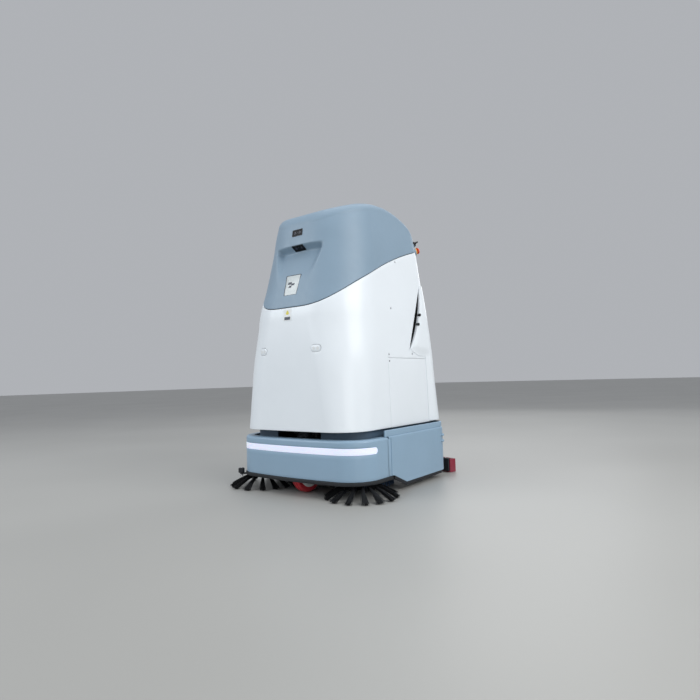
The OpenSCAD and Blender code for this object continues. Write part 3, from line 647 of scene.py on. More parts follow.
front_frame = turn("X", 90)
shell = body_skin().build("body_shell_skin", "white")
service_hole = rounded([(SERVICE[0], 200), (SERVICE[1] + 14, 200), (SERVICE[1] + 14, SERVICE[2]),
    (SERVICE[0], SERVICE[2])], [0, 0, 5, 5], 4)
cut(shell, side_prism(service_hole, inner=200), screw_tools(SCREWS, SCREW_HOLE), recess_tool(),
    Piece().both(slab(stadium(0.8), -60, 60, 0), at=move(SENSOR_X, 10, SENSOR_Z) @ front_frame),
    Piece().add(slab(rect(380, 540, 12, centre=(0, 570)), -850, -650, 0), at=front_frame),
    Piece().add(slab(rect(224, 120, 8, centre=(0, 942)), -850, -650, 0), at=front_frame),
    Piece().add(slab(circle(23, 40), -30, 30, 0), at=ESTOP))
round_edges(shell, 0.8, 55)
settle(shell, "chassis", "body_shell")


def panel_patch(z_low, z_high, back_low, back_high, corner):
    """Patch of the body's flat side with its upper corners rounded."""
    rows = []
    zs = np.concatenate([np.linspace(z_low, z_high - corner, 22),
        z_high - corner + corner * np.sin(np.linspace(0.15, 1, 8) * pi / 2)])
    for z in zs:
        over = max(0, z - (z_high - corner))
        pull = corner - sqrt(max(0, corner**2 - over**2))
        back = np.linspace(back_low + pull, back_high - pull, 30)
        rows.append(points(HALF_W(z), back, z))
    return grid(rows)


for side, tag in SIDES:
    verts, faces = panel_patch(BODY_LOW + 0.6, SERVICE[2] - 1, SERVICE[0] + 1, SERVICE[1] + 12, 4)
    panel = Piece().add(([(side * x, y, z) for x, y, z in verts], faces), flip=side < 0)
    panel = panel.build(f"service_panel_skin_{tag}", "white", fix=False)
    if sum((p.normal for p in panel.data.polygons), Vector()).x * side < 0:
        panel.data.flip_normals()
    thicken(panel, 4)
    cut(panel, screw_tools([PANEL_SCREW], SCREW_HOLE))
    round_edges(panel, 0.9, 55)
    settle(panel, "chassis", f"service_panel_{tag}")


def smooth_step(t):
    t = np.clip(t, 0, 1)
    return t * t * (3 - 2 * t)


COVER_OUT = Law([[250, 9.5], [560, 9.5], [740, 8], [868, 5.5]])
COVER_EDGE = [(SERVICE[1] + 2, 200), (900, 200), (900, 900), (612, 900), (607, 862), (571, 794), (537, 730),
    (503, 668), (471, 608), (457, 580), (462, 567), (482, 556), (520, SERVICE[2] + 12),
    (SERVICE[1] + 2, SERVICE[2] + 8)]


def cover_proud(y, z):
    """How far the rear cover stands off the body: it swells smoothly from its side edges."""
    edge = COVER_EDGE[3:] + COVER_EDGE[:1]
    near = np.full(np.shape(y), 1e9)
    for (y0, z0), (y1, z1) in zip(edge, edge[1:]):
        dy, dz = y1 - y0, z1 - z0
        t = np.clip(((y - y0) * dy + (z - z0) * dz) / (dy * dy + dz * dz), 0, 1)
        near = np.minimum(near, np.hypot(y - y0 - t * dy, z - z0 - t * dz))
    return 1.5 + (COVER_OUT(z) - 1.5) * smooth_step(near / 46)


def cover_skin():
    """Closed rear cover blank: outer and inner skins round the back, joined at their ends."""
    u = ring((2, 4, 90, 26, 20))
    u = u[(u >= 2.3) & (u <= 7.7)]
    outer, inner = [], []
    for z in np.linspace(254, 868, 100):
        out = cover_proud(outline(u, z)[1], z)
        outer.append(points(*outline(u, z, -out), z))
        inner.append(points(*outline(u, z, -np.maximum(0.4, out - 5)), z)[::-1])
    rows = [np.concatenate([a, b]) for a, b in zip(outer, inner)]
    verts, faces = grid(rows, wrap_u=True)
    n, last = 2 * len(u), (len(rows) - 1) * 2 * len(u)
    for i in range(len(u) - 1):
        faces.append((i, i + 1, n - 2 - i, n - 1 - i))
        faces.append((last + i, last + i + 1, last + n - 2 - i, last + n - 1 - i))
    return Piece().add((verts, faces))


cover = cover_skin().build("rear_cover_skin", "white")
edge = rounded(COVER_EDGE, [0, 0, 0, 8, 90, 90, 90, 90, 60, 8, 8, 40, 40, 4], 6)
cut(cover, side_prism(edge), keep=True)
cut(cover, screw_tools(CATCHES, 6.8))
cut(cover, recess_tool(0.5))
round_edges(cover, 0.7, 55)
settle(cover, "rear_cover", "rear_cover")


def knuckle(piece, x, back, z, hole, length, blocks):
    """Pair of hinge barrels along X, each with the blocks that hold it."""
    for low, size, r in blocks:
        piece.both(box((x, *low), size, r))
    barrel = [(hole, 0), (6, 0), (6, length), (hole, length), (hole, 0)]
    piece.both(spin(barrel, [0, 1, 1, 0, 0], 32), at=along_x(x, back, z))


COVER_PIN, HOOD_PIN = (741, 244, 3.1), (702, 1038, 2.6)
lug = Piece()
knuckle(lug, 113, *COVER_PIN, 14, [((741, 248), (14, 5, 12), 1.2)])
lug.build("rear_cover_hinge_lugs", "white", "rear_cover", slot="body_panel")

lugs = Piece()
for x in (100, 128):
    knuckle(lugs, x, *COVER_PIN, 12, [((731, 246), (12, 6, 12), 1.2)])
for x in (70, 98):
    knuckle(lugs, x, *HOOD_PIN, 12, [((688, 1016), (12, 13, 16), 1.5), ((696, 1026), (12, 8, 12), 1.5)])
lugs.build("body_hinge_lugs", "white", "chassis", slot="body_panel")

catches = Piece()
for back, z in CATCHES:
    x = float(HALF_W(z)) - 1
    catches.both(spin([(0, 0), (5.6, 0), (5.6, 8), (6.4, 9), (6.4, 11.5), (5, 13), (0, 13.2)],
        [0, 0.5, 0.6, 0.8, 1, 1.2, 0], 32), at=along_x(x, back, z))
catches.build("cover_catch_knobs", "black", "rear_cover", "cover_catches", "black_trim")


def screw_head(r=3.9, h=2.2):
    """Pan head with a hexagon socket."""
    return spin([(0.001, h - 1.4), (1.5, h - 1.4), (1.5, h), (r * 0.7, h), (r, 0), (r * 0.6, -3)],
        [0, 0, 0.3, 0.8, 0.3, 0], 24)


screws = Piece()
for back, z in SCREWS + [PANEL_SCREW]:
    screws.both(screw_head(), at=along_x(float(HALF_W(z)) - 1.4, back, z))
screws.build("panel_screw_heads", "bright", "chassis", "panel_screws", "bright_steel")

sensors = Piece()
plate = slab(stadium(-0.3), -2.2, 0.2, 0.5, 2)
raised = slab(stadium(-3.2), 0, 0.9, 0.4, 2)
corner_r = float(CORNER(SENSOR_Z))
sensor_u = 1 + 2 / pi * asin((SENSOR_X - (float(HALF_W(SENSOR_Z)) - corner_r)) / corner_r)
px, py = outline(np.array(sensor_u), float(SENSOR_Z))
for side in (1, -1):
    place = move(side * float(px), float(py), SENSOR_Z) @ turn("Z", side * (sensor_u - 1) * 90)
    place = place @ front_frame
    sensors.add(plate, 0, place)
    sensors.add(raised, 0, place @ Matrix.Scale(0.96, 4))
    for cx in (-9, 9):
        sensors.add(lathe([(0, 0.9), (5.2, 0.9), (5.6, 1.3), (6.4, 1.3), (6.8, 0.7)], 32), 1,
            place @ move(cx, 0, 0))
sensors.build("sensor_plates", "white label", "chassis", "ultrasonic_sensors", "body_panel")


# ---- hood
def soft_min(a, b, r):
    h = np.clip(0.5 + 0.5 * (b - a) / r, 0, 1)
    return b * (1 - h) + a * h - r * h * (1 - h)


def pocket_depth(x, z):
    """How far the hood's front is pressed in at the camera pocket."""
    wall = 42 + (z - 858) * 58 / 122
    ceiling = 100 - (z - 980) * 38 / 24
    deep = soft_min(wall, ceiling, 15) - FACE(z)
    deep = -soft_min(-deep, 0 * deep, 6)
    level = np.clip(z, 850, 1005)
    half = 88 + (level - 850) / 150 * 34
    side = smooth_step((half + 10 - np.abs(x)) / (26 + (1005 - level) * 0.1))
    return np.clip(deep, 0, None) * side


def hood_skin():
    """Outer surface of the hood: rolled lower edge, walls with the camera pocket, rounded rim and crown."""
    u = ring((16, 72, 44, 26, 16))
    low, rim = seam_z(u) + GAP, rim_z(u)
    walls, edge, lap = 118, 12, 22
    rows = []
    for a in (90, 60, 30):
        a = radians(a)
        z = low + 2.5 - 2.5 * sin(a)
        rows.append(points(*outline(u, z, 2.5 * (1 - cos(a))), z))
    for k in range(walls + 1):
        z = low + 2.5 + (rim - low - 2.5) * k / walls
        x, y = outline(u, z)
        front = (u < 2) | (u > 8)
        y = y + np.where(front, pocket_depth(x, z), 0)
        rows.append(points(x, y, z))
    for k in range(1, edge + 1):
        a = pi / 2 * k / edge
        x, y = outline(u, rim, ROOF_R * (1 - cos(a)))
        z = rim + (ROOF(y) - rim) * sin(a)
        rows.append(points(x, y, z))
    x0, y0 = outline(u, rim, ROOF_R)
    spine = np.clip(y0, 220, 540)
    for k in range(1, lap + 1):
        s = 0.97 * k / lap
        x, y = x0 * (1 - s), y0 + (spine - y0) * s
        rows.append(points(x, y, ROOF(y) + CROWN * sin(s * pi / 2) ** 2))
    verts, faces = grid(rows, wrap_u=True)
    n, start = len(u), (len(rows) - 1) * len(u)
    for i in range(n // 2):
        quad = [start + i, start + i + 1, start + (n - i - 1) % n, start + (n - i) % n]
        faces.append(tuple(dict.fromkeys(quad)))
    return Piece().add((verts, faces))


hood = hood_skin().build("hood_skin", "hood")
top = max(hood.data.polygons, key=lambda p: p.center.z)
if top.normal.z < 0:
    hood.data.flip_normals()
thicken(hood, 4)


def on_face(x, z, lift=0):
    """Frame on the hood or body front at x and height z: X across, Y up the slope, Z outward."""
    y = float(FACE(z)) - BOW
    rise = (float(FACE(z + 8)) - float(FACE(z - 8))) / 16
    lean = degrees(atan(rise))
    return move(x, y, z) @ turn("X", 90 - lean) @ move(0, 0, lift)


UP_CAM = on_face(0, 1053)
BADGE = placed((-2, 34.5, 831), (74.5, 0, 0))
badge_pts = [(-32, -42), (31, -42), (40, 42), (-34, 42)]


def grown(pts, d):
    """Outline with its corners moved out by d."""
    cx, cy = np.mean(pts, axis=0)
    return [(x + copysign(d, x - cx), y + copysign(d, y - cy)) for x, y in pts]


LOW_CAM = move(0, 82, 991) @ turn("X", 148) @ move(0, 0, 1.5)
cut(hood, Piece().add(slab(rect(61, 34, 4), -20, 30, 0), at=LOW_CAM),
    Piece().add(slab(rect(56, 30, 4), -14, 40, 0), at=UP_CAM),
    Piece().add(slab(rounded(grown(badge_pts, 1.6), 2.5, 4), -2.2, 20, 0), at=BADGE))
round_edges(hood, 0.7, 60)
settle(hood, "hood", "hood")

details = Piece()
for r, top, round_r, at in ((21, 8, 2, ESTOP), (17, 6, 1.5, KNOB)):
    boss = [(0, -28), (r, -28), (r, top - round_r), (r - 1.5, top), (0, top)]
    details.add(spin(boss, [0, 0, round_r, 1, 0], 64), at=at)
knuckle(details, 83, *HOOD_PIN, 14, [((684, 1036), (14, 15, 8), 1.5)])
details.build("hood_bosses", "hood", "hood", slot="hood_panel")


def ring_plate(outer, inner, low, high):
    """Frame-shaped plate between two outlines with the same number of points."""
    rows = [[(p[0], p[1], low) for p in outer], [(p[0], p[1], high) for p in outer],
        [(p[0], p[1], high) for p in inner], [(p[0], p[1], low) for p in inner]]
    return grid(rows, wrap_u=True, wrap_v=True)


def camera_window(w, h, r, lens_gap):
    """Black window flush in its frame, with two lenses and a lamp behind it."""
    piece = Piece()
    piece.add(slab(rect(w - 3, h - 3, r - 1, 4), -6, -1.2, 0.3, 1), 0)
    piece.add(ring_plate(rect(w, h, r, 4), rect(w - 2, h - 2, r - 0.8, 4), -5, 0.35), 1)
    piece.add(ring_plate(rect(w - 2, h - 2, r - 0.8, 4), rect(w - 5, h - 5, r - 1.6, 4), -4, -0.5), 2)
    for cx in (-lens_gap, lens_gap):
        piece.add(lathe([(0, -1), (3.4, -0.9), (4.2, -0.4), (5.4, -0.4), (5.9, -1.2)], 32), 3, move(cx, 0, 0))
    piece.add(lathe([(0, -1), (1.3, -0.9), (1.7, -1.2)], 20), 1, move(0, 2, 0))
    return piece


for tag, at, w, h, lens_gap in (("upper", UP_CAM, 55, 29, 13), ("lower", LOW_CAM, 60, 33, 14)):
    window = camera_window(w, h, 4, lens_gap)
    window.v = [tuple(at @ Vector(p)) for p in window.v]
    if tag == "lower":
        window.add(slab(rect(w, h, 4), -20, -1.4, 0.3, 1), 2, at)
    window.build(f"{tag}_camera_window", "glass rim black lens", "hood", f"{tag}_camera", "black_trim")

badge = Piece()
badge.add(slab(rounded(badge_pts, 2.2, 4), -2, 0.4, 0.4, 2), 0, BADGE)
# the dark ring round the badge's edge is a painted shadow line
badge.add(ring_plate(rounded(grown(badge_pts, 1.3), 2.5, 4), rounded(grown(badge_pts, -2.2), 1.6, 4), -2,
    0.75), 1, BADGE)
for x0, x1, y0, y1 in ((-22, 0, 4, 14), (-4, 16, -1.5, 7.5), (-17, 1, -10.5, -1.5)):
    bar = rounded([(x0, y0), (x1 - 3, y0), (x1, y1), (x0 + 3, y1)], 2, 4)
    badge.add(slab(bar, 0.2, 0.6, 0.15, 1), 1, BADGE)
badge.build("badge_face_plate", "badge mark", "hood", "badge_plate", "badge_face")

label = Piece()
spot = on_face(-1, 708, 0.15)
label.add(slab(rect(42, 46, 3), -0.3, 0.12, 0.1, 1), 0, spot)
label.add(slab(rounded([(-11, 1), (11, 1), (0, 22)], 4, 4), 0, 0.3, 0.1, 1), 1, spot)
label.add(slab(rect(31, 12, 1.5, centre=(0, -14)), 0, 0.3, 0.1, 1), 2, spot)
label.build("front_label", "label caution mark", "chassis", slot="body_panel")


# ---- controls
collar = spin([(8.2, 8), (16.2, 8), (16.2, 12.5), (14.2, 16), (8.2, 16), (8.2, 8)],
    [0, 0.6, 1.5, 1, 0.6, 0], 56)
Piece().add(collar, at=ESTOP).build("estop_collar_ring", "yellow", "hood", "estop_collar", "collar_yellow")
head = spin([(0, 13), (7.9, 13), (7.9, 20.5), (14.4, 20.5), (15.6, 23.5), (14.2, 27.2), (8, 28.9),
    (0, 29.4)], [0, 0.5, 0, 1, 2, 3, 6, 0], 56, 4)
button = Piece().add(head, at=ESTOP)
for k in range(3):
    arc = [(8.2 * cos(a), 8.2 * sin(a)) for a in np.radians(np.linspace(0, 70, 8))]
    arc += [(6.6 * cos(a), 6.6 * sin(a)) for a in np.radians(np.linspace(70, 0, 8))]
    button.add(slab(arc, 28.6, 29.5, 0.15, 1), 1, ESTOP @ turn("Z", 120 * k))
button.build("estop_head", "red label", "estop_button", "estop_button", "signal_red")
seat = spin([(6.2, 6), (14, 6), (14, 11), (12.4, 13), (6.2, 13), (6.2, 6)], [0, 0.6, 1, 1, 0.5, 0], 48)
Piece().add(seat, at=KNOB).build("power_knob_seat", "black", "hood", "power_knob_base", "black_trim")
knob = Piece()
knob.add(spin([(0, 8), (5.9, 8), (5.9, 13.6), (13, 13.6), (13, 19), (11.5, 21.5), (0, 21.5)],
    [0, 0.5, 0, 0.8, 1.5, 1, 0], 56), at=KNOB)
grip = rounded([(-3.2, -17), (3.2, -17), (4.2, 0), (3.2, 17), (-3.2, 17), (-4.2, 0)],
    [2.5, 2.5, 8, 2.5, 2.5, 8], 4)
knob.add(slab(grip, 20.5, 35, 1.6, 3), at=KNOB)
knob.add(slab(rect(1.6, 12, 0.7, centre=(0, 10)), 34.9, 35.3, 0.1, 1), 1, KNOB)
knob.build("power_knob_grip", "black label", "power_knob", "power_knob", "black_trim")

screen = Piece()
rear_face = move(0, 704, 942) @ turn("Z", 180) @ turn("X", 90)
screen.add(slab(rect(222, 118, 8, 5), -20, -1.5, 1, 2), 0, rear_face)
screen.add(slab(rect(216, 112, 6, 5), -1.6, 0, 0.6, 2), 1, rear_face)
screen.add(slab(rect(180, 90, 4, 4), -40, -19, 1.5, 2), 0, rear_face)
screen.build("touch_screen_panel", "black glass", "chassis", "touch_screen", "screen_glass")


# ---- base panels
LIGHT_LOW, LIGHT_HIGH, CAP_R, LIGHT_BACK = 167, 192, 12.5, 124.5
light_t = next(float(t) for t in np.arange(L1, L3, 0.25) if base_path(t)[1] >= LIGHT_BACK)
BUMPER_T, STRIP_T = side_t(198.5), side_t(226)


def light_span(t, grow):
    mid, r = (LIGHT_LOW + LIGHT_HIGH) / 2, (LIGHT_HIGH - LIGHT_LOW) / 2 + grow
    past = abs(t) - (light_t - CAP_R)
    if past <= 0:
        return mid - r, mid + r
    if past >= r:
        return mid, mid
    h = sqrt(r * r - past * past)
    return mid - h, mid + h


def quarter(inset, z, r, n):
    """Rounded shoulder that starts at a wall's top and turns inward."""
    turns = [pi / 2 * k / n for k in range(1, n + 1)]
    return [(inset + r * (1 - cos(a)), z + r * sin(a)) for a in turns]


def bumper_profile(t):
    a, b = light_span(t, 0.8)
    top, low, r = 221, 70, 11
    deep, brim = (2.6, 0.25) if b - a > 0.5 else (0, 0)  # the strip's groove and its soft edge
    pts = [(7, low + 3), (6, low), (2, low), (0.6, low + 0.6), (0, low + 2), (0, low + 12)]
    pts += [(0, low + 12 + (a - 0.5 - low - 12) * k / 6) for k in range(1, 6)]
    pts += [(0, a - 0.4), (brim, a), (deep, a + 0.02), (deep, b - 0.02), (brim, b), (0, b + 0.4)]
    pts += [(0, b + 0.4 + (top - r - b - 0.4) * k / 2) for k in (1, 2)]
    pts += quarter(0, top - r, r, 8)
    pts += [(22, top), (32.8, top), (34, top - 1.2), (34, top - 5), (12, top - 5), (7, top - 9)]
    return pts


def lip_profile(t):
    return rounded([(0, 72), (0, 212), (1.3, 212), (1.3, 72)], 0.3, 2)


ends = [s * (light_t - CAP_R + 13.3 * sin(a)) for a in np.linspace(0, pi / 2, 9) for s in (-1, 1)]
bumper_ts = steps(-BUMPER_T, BUMPER_T, 5, ends + [-L1, L1, -L2, L2])
lip_ts = steps(side_t(196), side_t(213), 4)
bumper = Piece().add(sweep(bumper_ts, bumper_profile)).add(sweep(lip_ts, lip_profile))
bumper.add(sweep([-t for t in lip_ts], lip_profile))
bumper = bumper.build("bumper_shell_skin", "base", sharp=38)
settle(bumper, "bumper", "bumper_shell")


def light_profile(t):
    a, b = light_span(t, 0)
    out = -0.35
    mid = (a + b) / 2
    h = max(0.02, (b - a) / 2)
    k = min(1, h / 4)
    half = [(2.45, 1), (0.3, 1), (out * k * 0.5, 0.94), (out * k, 0.82), (out * k, 0.4), (out * k, 0)]
    return [(i, mid - h * f) for i, f in half] + [(i, mid + h * f) for i, f in half[-2::-1]]


strip_ts = [t for t in steps(-light_t, light_t, 5,
    [s * (light_t - CAP_R + 12.5 * sin(a)) for a in np.linspace(0, pi / 2, 10) for s in (-1, 1)])
    if abs(t) <= light_t - 0.02]
Piece().add(sweep(strip_ts, light_profile)).build("light_strip_lens", "light", "bumper", "light_strip",
    "light_lens", sharp=50)

rubber = rounded([(-4, 56.5), (3, 55), (8, 55), (8, 70), (-1, 70), (-4, 67)], [3, 1.5, 0.5, 0.5, 1.5, 3], 4)


def strip_profile(t):
    left = STRIP_T - abs(t)
    k = min(1, max(0.15, left / 7))
    k = sqrt(1 - (1 - k) ** 2)
    top = 69.3 if left < 24 else 70
    return [(2 + (i - 2) * k, min(top, 62.5 + (z - 62.5) * k)) for i, z in rubber]


tail = [s * (STRIP_T - d) for d in (0, 0.5, 1.5, 3, 5, 7) for s in (-1, 1)]
edge_strip = Piece().add(sweep(steps(-STRIP_T, STRIP_T, 6, tail + [L1, L2, -L1, -L2]), strip_profile))
arm = rounded([(-300, 12), (-288, 22), (-262, 44), (-276, 58), (-304, 34), (-311, 22)], [6, 6, 3, 3, 6, 6], 4)
edge_strip.add(slab(arm, 56.8, 62.4, 1, 2))
edge_strip.build("bumper_strip_rubber", "strip", "bumper", "bumper_strip", "black_trim", sharp=40)
roller, ROLLER = Piece(), move(-300, 20, 0)
roller.add(spin([(0, 63), (11, 63), (13, 65.5), (13, 80.5), (11, 83), (5, 83.4), (0, 83.4)],
    [0, 1.5, 1.5, 2, 1.5, 1, 0], 40, 4), 0, ROLLER)
roller.add(spin([(0, 50), (7, 50), (7, 54.6), (3.9, 54.6), (3.9, 63.5), (0, 63.5)], [0, 1, 1, 0, 0, 0], 32),
    1, ROLLER)
roller.add(lathe([(0, 84.6), (2.6, 84.4), (3.4, 83.2)], 20), 1, ROLLER)
roller.build("corner_roller_wheel", "strip bright", "corner_roller", "corner_roller", "black_trim")


def low_edge(t):
    """Height of the side panels' lower edge."""
    back = base_path(t)[1] if abs(t) < L3 else 999
    return 70 - 40 * min(1, max(0, (back - 236) / 95))


def side_profile(t):
    low = low_edge(t)
    step = 1.8 if abs(t) < side_t(221) else 0
    pts = [(5, low + 0.8), (4.2, low), (1 + step, low), (step, low + 1)]
    pts += [(step, low + 1 + (214 - low - 1) * k / 8) for k in range(1, 9)]
    pts += quarter(0, 216.8, 4.4, 5)
    pts += [(4.7, 221.6), (4.4, 222.4), (4, 224), (4, 232), (4, 243.8)]
    pts += quarter(4, 243.8, 2.2, 3)
    pts += [(8.4, 246), (9, 245.2), (9, 221), (5, 214), (5, 120)]
    return pts


def ledge_profile(t):
    return rounded([(4, 222.2), (4, 246), (9, 246), (9, 222.2)], [0.4, 2.2, 0.8, 0.4], 3)


S0, S1 = side_t(205.5), side_t(638)
for sign, tag in SIDES:
    panel = Piece()
    ts = steps(S0, S1, 8, [side_t(220.98), side_t(221.02), side_t(236), side_t(331)])
    panel.add(sweep([sign * t for t in ts], side_profile))
    panel.add(sweep([sign * t for t in steps(side_t(184), S0 + 1, 6)], ledge_profile))
    panel.build(f"side_panel_skin_{tag}", "base", "chassis", f"side_panel_{tag}", "base_panel", sharp=38)


def rear_profile(t):
    x, back = base_path(t)[:2]
    low = 198 if abs(x) < 90 and back > 690 else 30
    span = 214 - low - 1
    pts = [(5, low + 0.8), (4.2, low), (1, low), (0, low + 1)]
    pts += [(0, low + 1 + span * k / 8) for k in range(1, 9)]
    return pts + side_profile(side_t(400))[12:-1] + [(5, low + span * 0.5)]


R0 = side_t(639)
gate = L4 + BASE_W - RR - 90
right = steps(R0, gate - 0.05, 6, [L3, L4]) + steps(gate + 0.05, L5, 8)
rear = Piece()
rear_path = right + [2 * L5 - t for t in right[:-1]][::-1]


def around(t):
    if t <= L5:
        return base_path(t)
    x, y, nx, ny = base_path(2 * L5 - t)
    return -x, y, -nx, ny


rear.add(sweep(rear_path, lambda t: rear_profile(t if t <= L5 else 2 * L5 - t), around))
for z in (160, 186):
    loop = []
    for a in np.radians(np.linspace(-10, 190, 15)):
        sa, ca = sin(a), cos(a)
        loop.append([(329 + 8 * sa + 2.4 * cos(b) * sa, 648 + 9 * ca + 2.4 * cos(b) * ca, z + 5 * sin(b))
            for b in np.radians(np.arange(0, 360, 45))])
    rear.both(grid(loop, wrap_u=True))
rear.build("rear_panel_skin", "base", "chassis", "rear_panel", "base_panel", sharp=38)


# ---- scanner
LIDAR = move(0, 92, 0)
scanner = Piece()
scanner.add(spin([(6.2, 212), (34, 212), (34, 218), (31.5, 220), (6.2, 220), (6.2, 212)],
    [0, 0.8, 1.2, 1.2, 0.6, 0], 56), at=LIDAR)
for k in range(4):
    scanner.add(screw_head(2.6, 1.6), 1, LIDAR @ turn("Z", 45 + 90 * k) @ move(28, 0, 219.2))
scanner.build("lidar_base_housing", "black bright", "chassis", "lidar_base", "black_trim")
turret = Piece()
turret.add(spin([(0, 215), (5.9, 215), (5.9, 220.6), (29, 220.6), (30, 222), (30, 225.5), (28.6, 226.5),
    (28.6, 236), (30, 237), (30, 241), (28.5, 242.5), (0, 242.5)],
    [0, 0.4, 0, 0.6, 0.6, 0.6, 0.5, 0.5, 0.6, 1, 1, 0], 64, 2), at=LIDAR)
for mat, w, heading in ((1, 18, 0), (2, 8, 55)):
    turret.add(slab(rect(w, 7, 2, 3), 28.3, 29.5, 0.3, 1), mat,
        LIDAR @ move(0, 0, 231.2) @ turn("Z", heading) @ front_frame)
turret.build("lidar_turret", "black glass lens", "lidar_head", "lidar_head", "black_trim")


# ---- wheels
def mirrored(pts):
    """Closed profile from its lower half."""
    return pts + [(a, -b) for a, b in pts[::-1]] + pts[:1]


def wheel(r, rim_r, width, hub_w, bore, place, red):
    """Tyre and dished hub turning about X."""
    tyre, hub, half = Piece(), Piece(), width / 2
    axis = place @ turn("Y", 90)
    tread = [(rim_r, -half + 1), (rim_r + 2, -half), (r - 6, -half), (r - 1.2, -half + 4.5), (r, -half + 9)]
    for k in ((-8, -4) if red else (-11, -3)):
        tread += [(r, k - 1.6), (r - 2, k - 0.8), (r - 2, k + 0.8), (r, k + 1.6)]
    tyre.add(lathe(mirrored(tread), 72), 0, axis)
    face = half + (1 if red else -1)
    dish = [(bore, -hub_w / 2), (18, -hub_w / 2), (18, 7 - face), (rim_r - 16, 6 - face),
        (rim_r - 12, -face), (rim_r, -face)]
    hub.add(spin(mirrored(dish), [0, 1.2, 3, 3, 3, 1.2, 1.2, 3, 3, 3, 1.2, 0, 0], 64), 0, axis)
    for k in range(5):
        rib = box((17, -2.2, -face + 2), (rim_r - 31, 4.4, 2 * face - 4), 1.2, 2)
        hub.add(rib, 0, axis @ turn("Z", 72 * k))
    for s in (-1, 1):
        for k in range(5):
            hub.add(screw_head(3.2, 2), 1, axis @ turn("Z", 72 * k + 36)
                @ move(rim_r - 24, 0, s * (face - 6.6)) @ turn("X", 0 if s > 0 else 180))
    return tyre, hub


tyre, hub = wheel(80, 60, 34, 52, 8.2, move(0, 100, 80), True)
tyre.build("front_tyre_red", "tyre_red", "front_wheel", "front_tyre", "red_tyre", sharp=40)
hub.build("front_wheel_hub", "hub bright", "front_wheel", "front_hub", "wheel_hub", sharp=40)
for sign, tag in SIDES:
    tyre, hub = wheel(85, 66, 38, 40, 10.2, move(sign * 262, 565, 85), False)
    tyre.build(f"rear_tyre_rubber_{tag}", "tyre", f"rear_wheel_{tag}", f"rear_tyre_{tag}", "dark_tyre",
        sharp=40)
    hub.build(f"rear_wheel_hub_{tag}", "hub bright", f"rear_wheel_{tag}", f"rear_hub_{tag}", "wheel_hub",
        sharp=40)


# ---- brushes
def filaments(starts, mids, ends, radius, segments):
    """Thin bent bristles from arrays of start, middle and end points."""
    a, b, c = (np.array(p, float) for p in (starts, mids, ends))
    verts, faces = [], []
    t = np.linspace(0, 1, segments + 1)[:, None]
    for p, q, r in zip(a, b, c):
        line = (1 - t) ** 2 * p + 2 * t * (1 - t) * q + t**2 * r
        way = (r - p) / np.linalg.norm(r - p)
        side = np.cross(way, (0, 0, 1))
        if np.linalg.norm(side) < 1e-3:
            side = np.array((1.0, 0, 0))
        side /= np.linalg.norm(side)
        up = np.cross(side, way)
        start = len(verts)
        for k, point in enumerate(line):
            rad = radius * (1 - 0.25 * k / segments)
            for ang in (0.5, 2.594, 4.689):
                verts.append(point + rad * (cos(ang) * side + sin(ang) * up))
        for k in range(segments):
            for j in range(3):
                i0, i1 = start + k * 3 + j, start + k * 3 + (j + 1) % 3
                faces.append((i0, i1, i1 + 3, i0 + 3))
        faces.append((start, start + 2, start + 1))
        last = start + segments * 3
        faces.append((last, last + 1, last + 2))
    return verts, faces


def side_brush(sign, tag):
    centre = move(sign * 258, 114, 0)
    disc = Piece()
    disc.add(spin([(0, 52), (34, 52), (38, 55), (38, 62), (34, 66), (16, 66), (14, 68), (14, 78), (0, 78)],
        [0, 2, 2, 2, 2, 2, 1.5, 1, 0], 64), 0, centre)
    rng = np.random.default_rng(11 + sign)
    tufts, per = 14, 110
    starts, mids, ends = [], [], []
    for k in range(tufts):
        heading = 2 * pi * k / tufts
        disc.add(spin([(0, -6), (5.4, -6), (5.8, 2), (4.8, 3.2), (0, 3.2)], [0, 0.5, 1, 1, 0], 20, 2), 0,
            centre @ turn("Z", degrees(heading)) @ move(30, 0, 57) @ turn("Y", 118))
        lean = rng.normal(0, 0.03)
        for _ in range(per):
            r0, a0 = 4.2 * sqrt(rng.random()), rng.random() * 2 * pi
            off = np.array((r0 * cos(a0), r0 * sin(a0)))
            fan = heading + lean + off[0] * 0.021 + rng.normal(0, 0.028)
            reach = min(146.5, 138 + off[1] * 1.6 + rng.normal(0, 2.4))
            ct, st = cos(heading), sin(heading)
            start = (32 * ct - off[0] * st, 32 * st + off[0] * ct, 56 + off[1])
            mid = (86 * cos(heading + (fan - heading) * 0.35), 86 * sin(heading + (fan - heading) * 0.35),
                39 + off[1] * 1.4 + rng.normal(0, 1))
            tip = (reach * cos(fan), reach * sin(fan), max(1.4, 5 + off[1] * 1.3 + rng.normal(0, 1.6)))
            for group, point in zip((starts, mids, ends), (start, mid, tip)):
                group.append(point)
    disc.add(filaments(starts, mids, ends, 0.72, 7), 1, centre)
    disc.build(f"side_brush_bristles_{tag}", "black bristle", f"side_brush_{tag}", f"side_brush_{tag}",
        "side_bristle", fix=False, sharp=60)


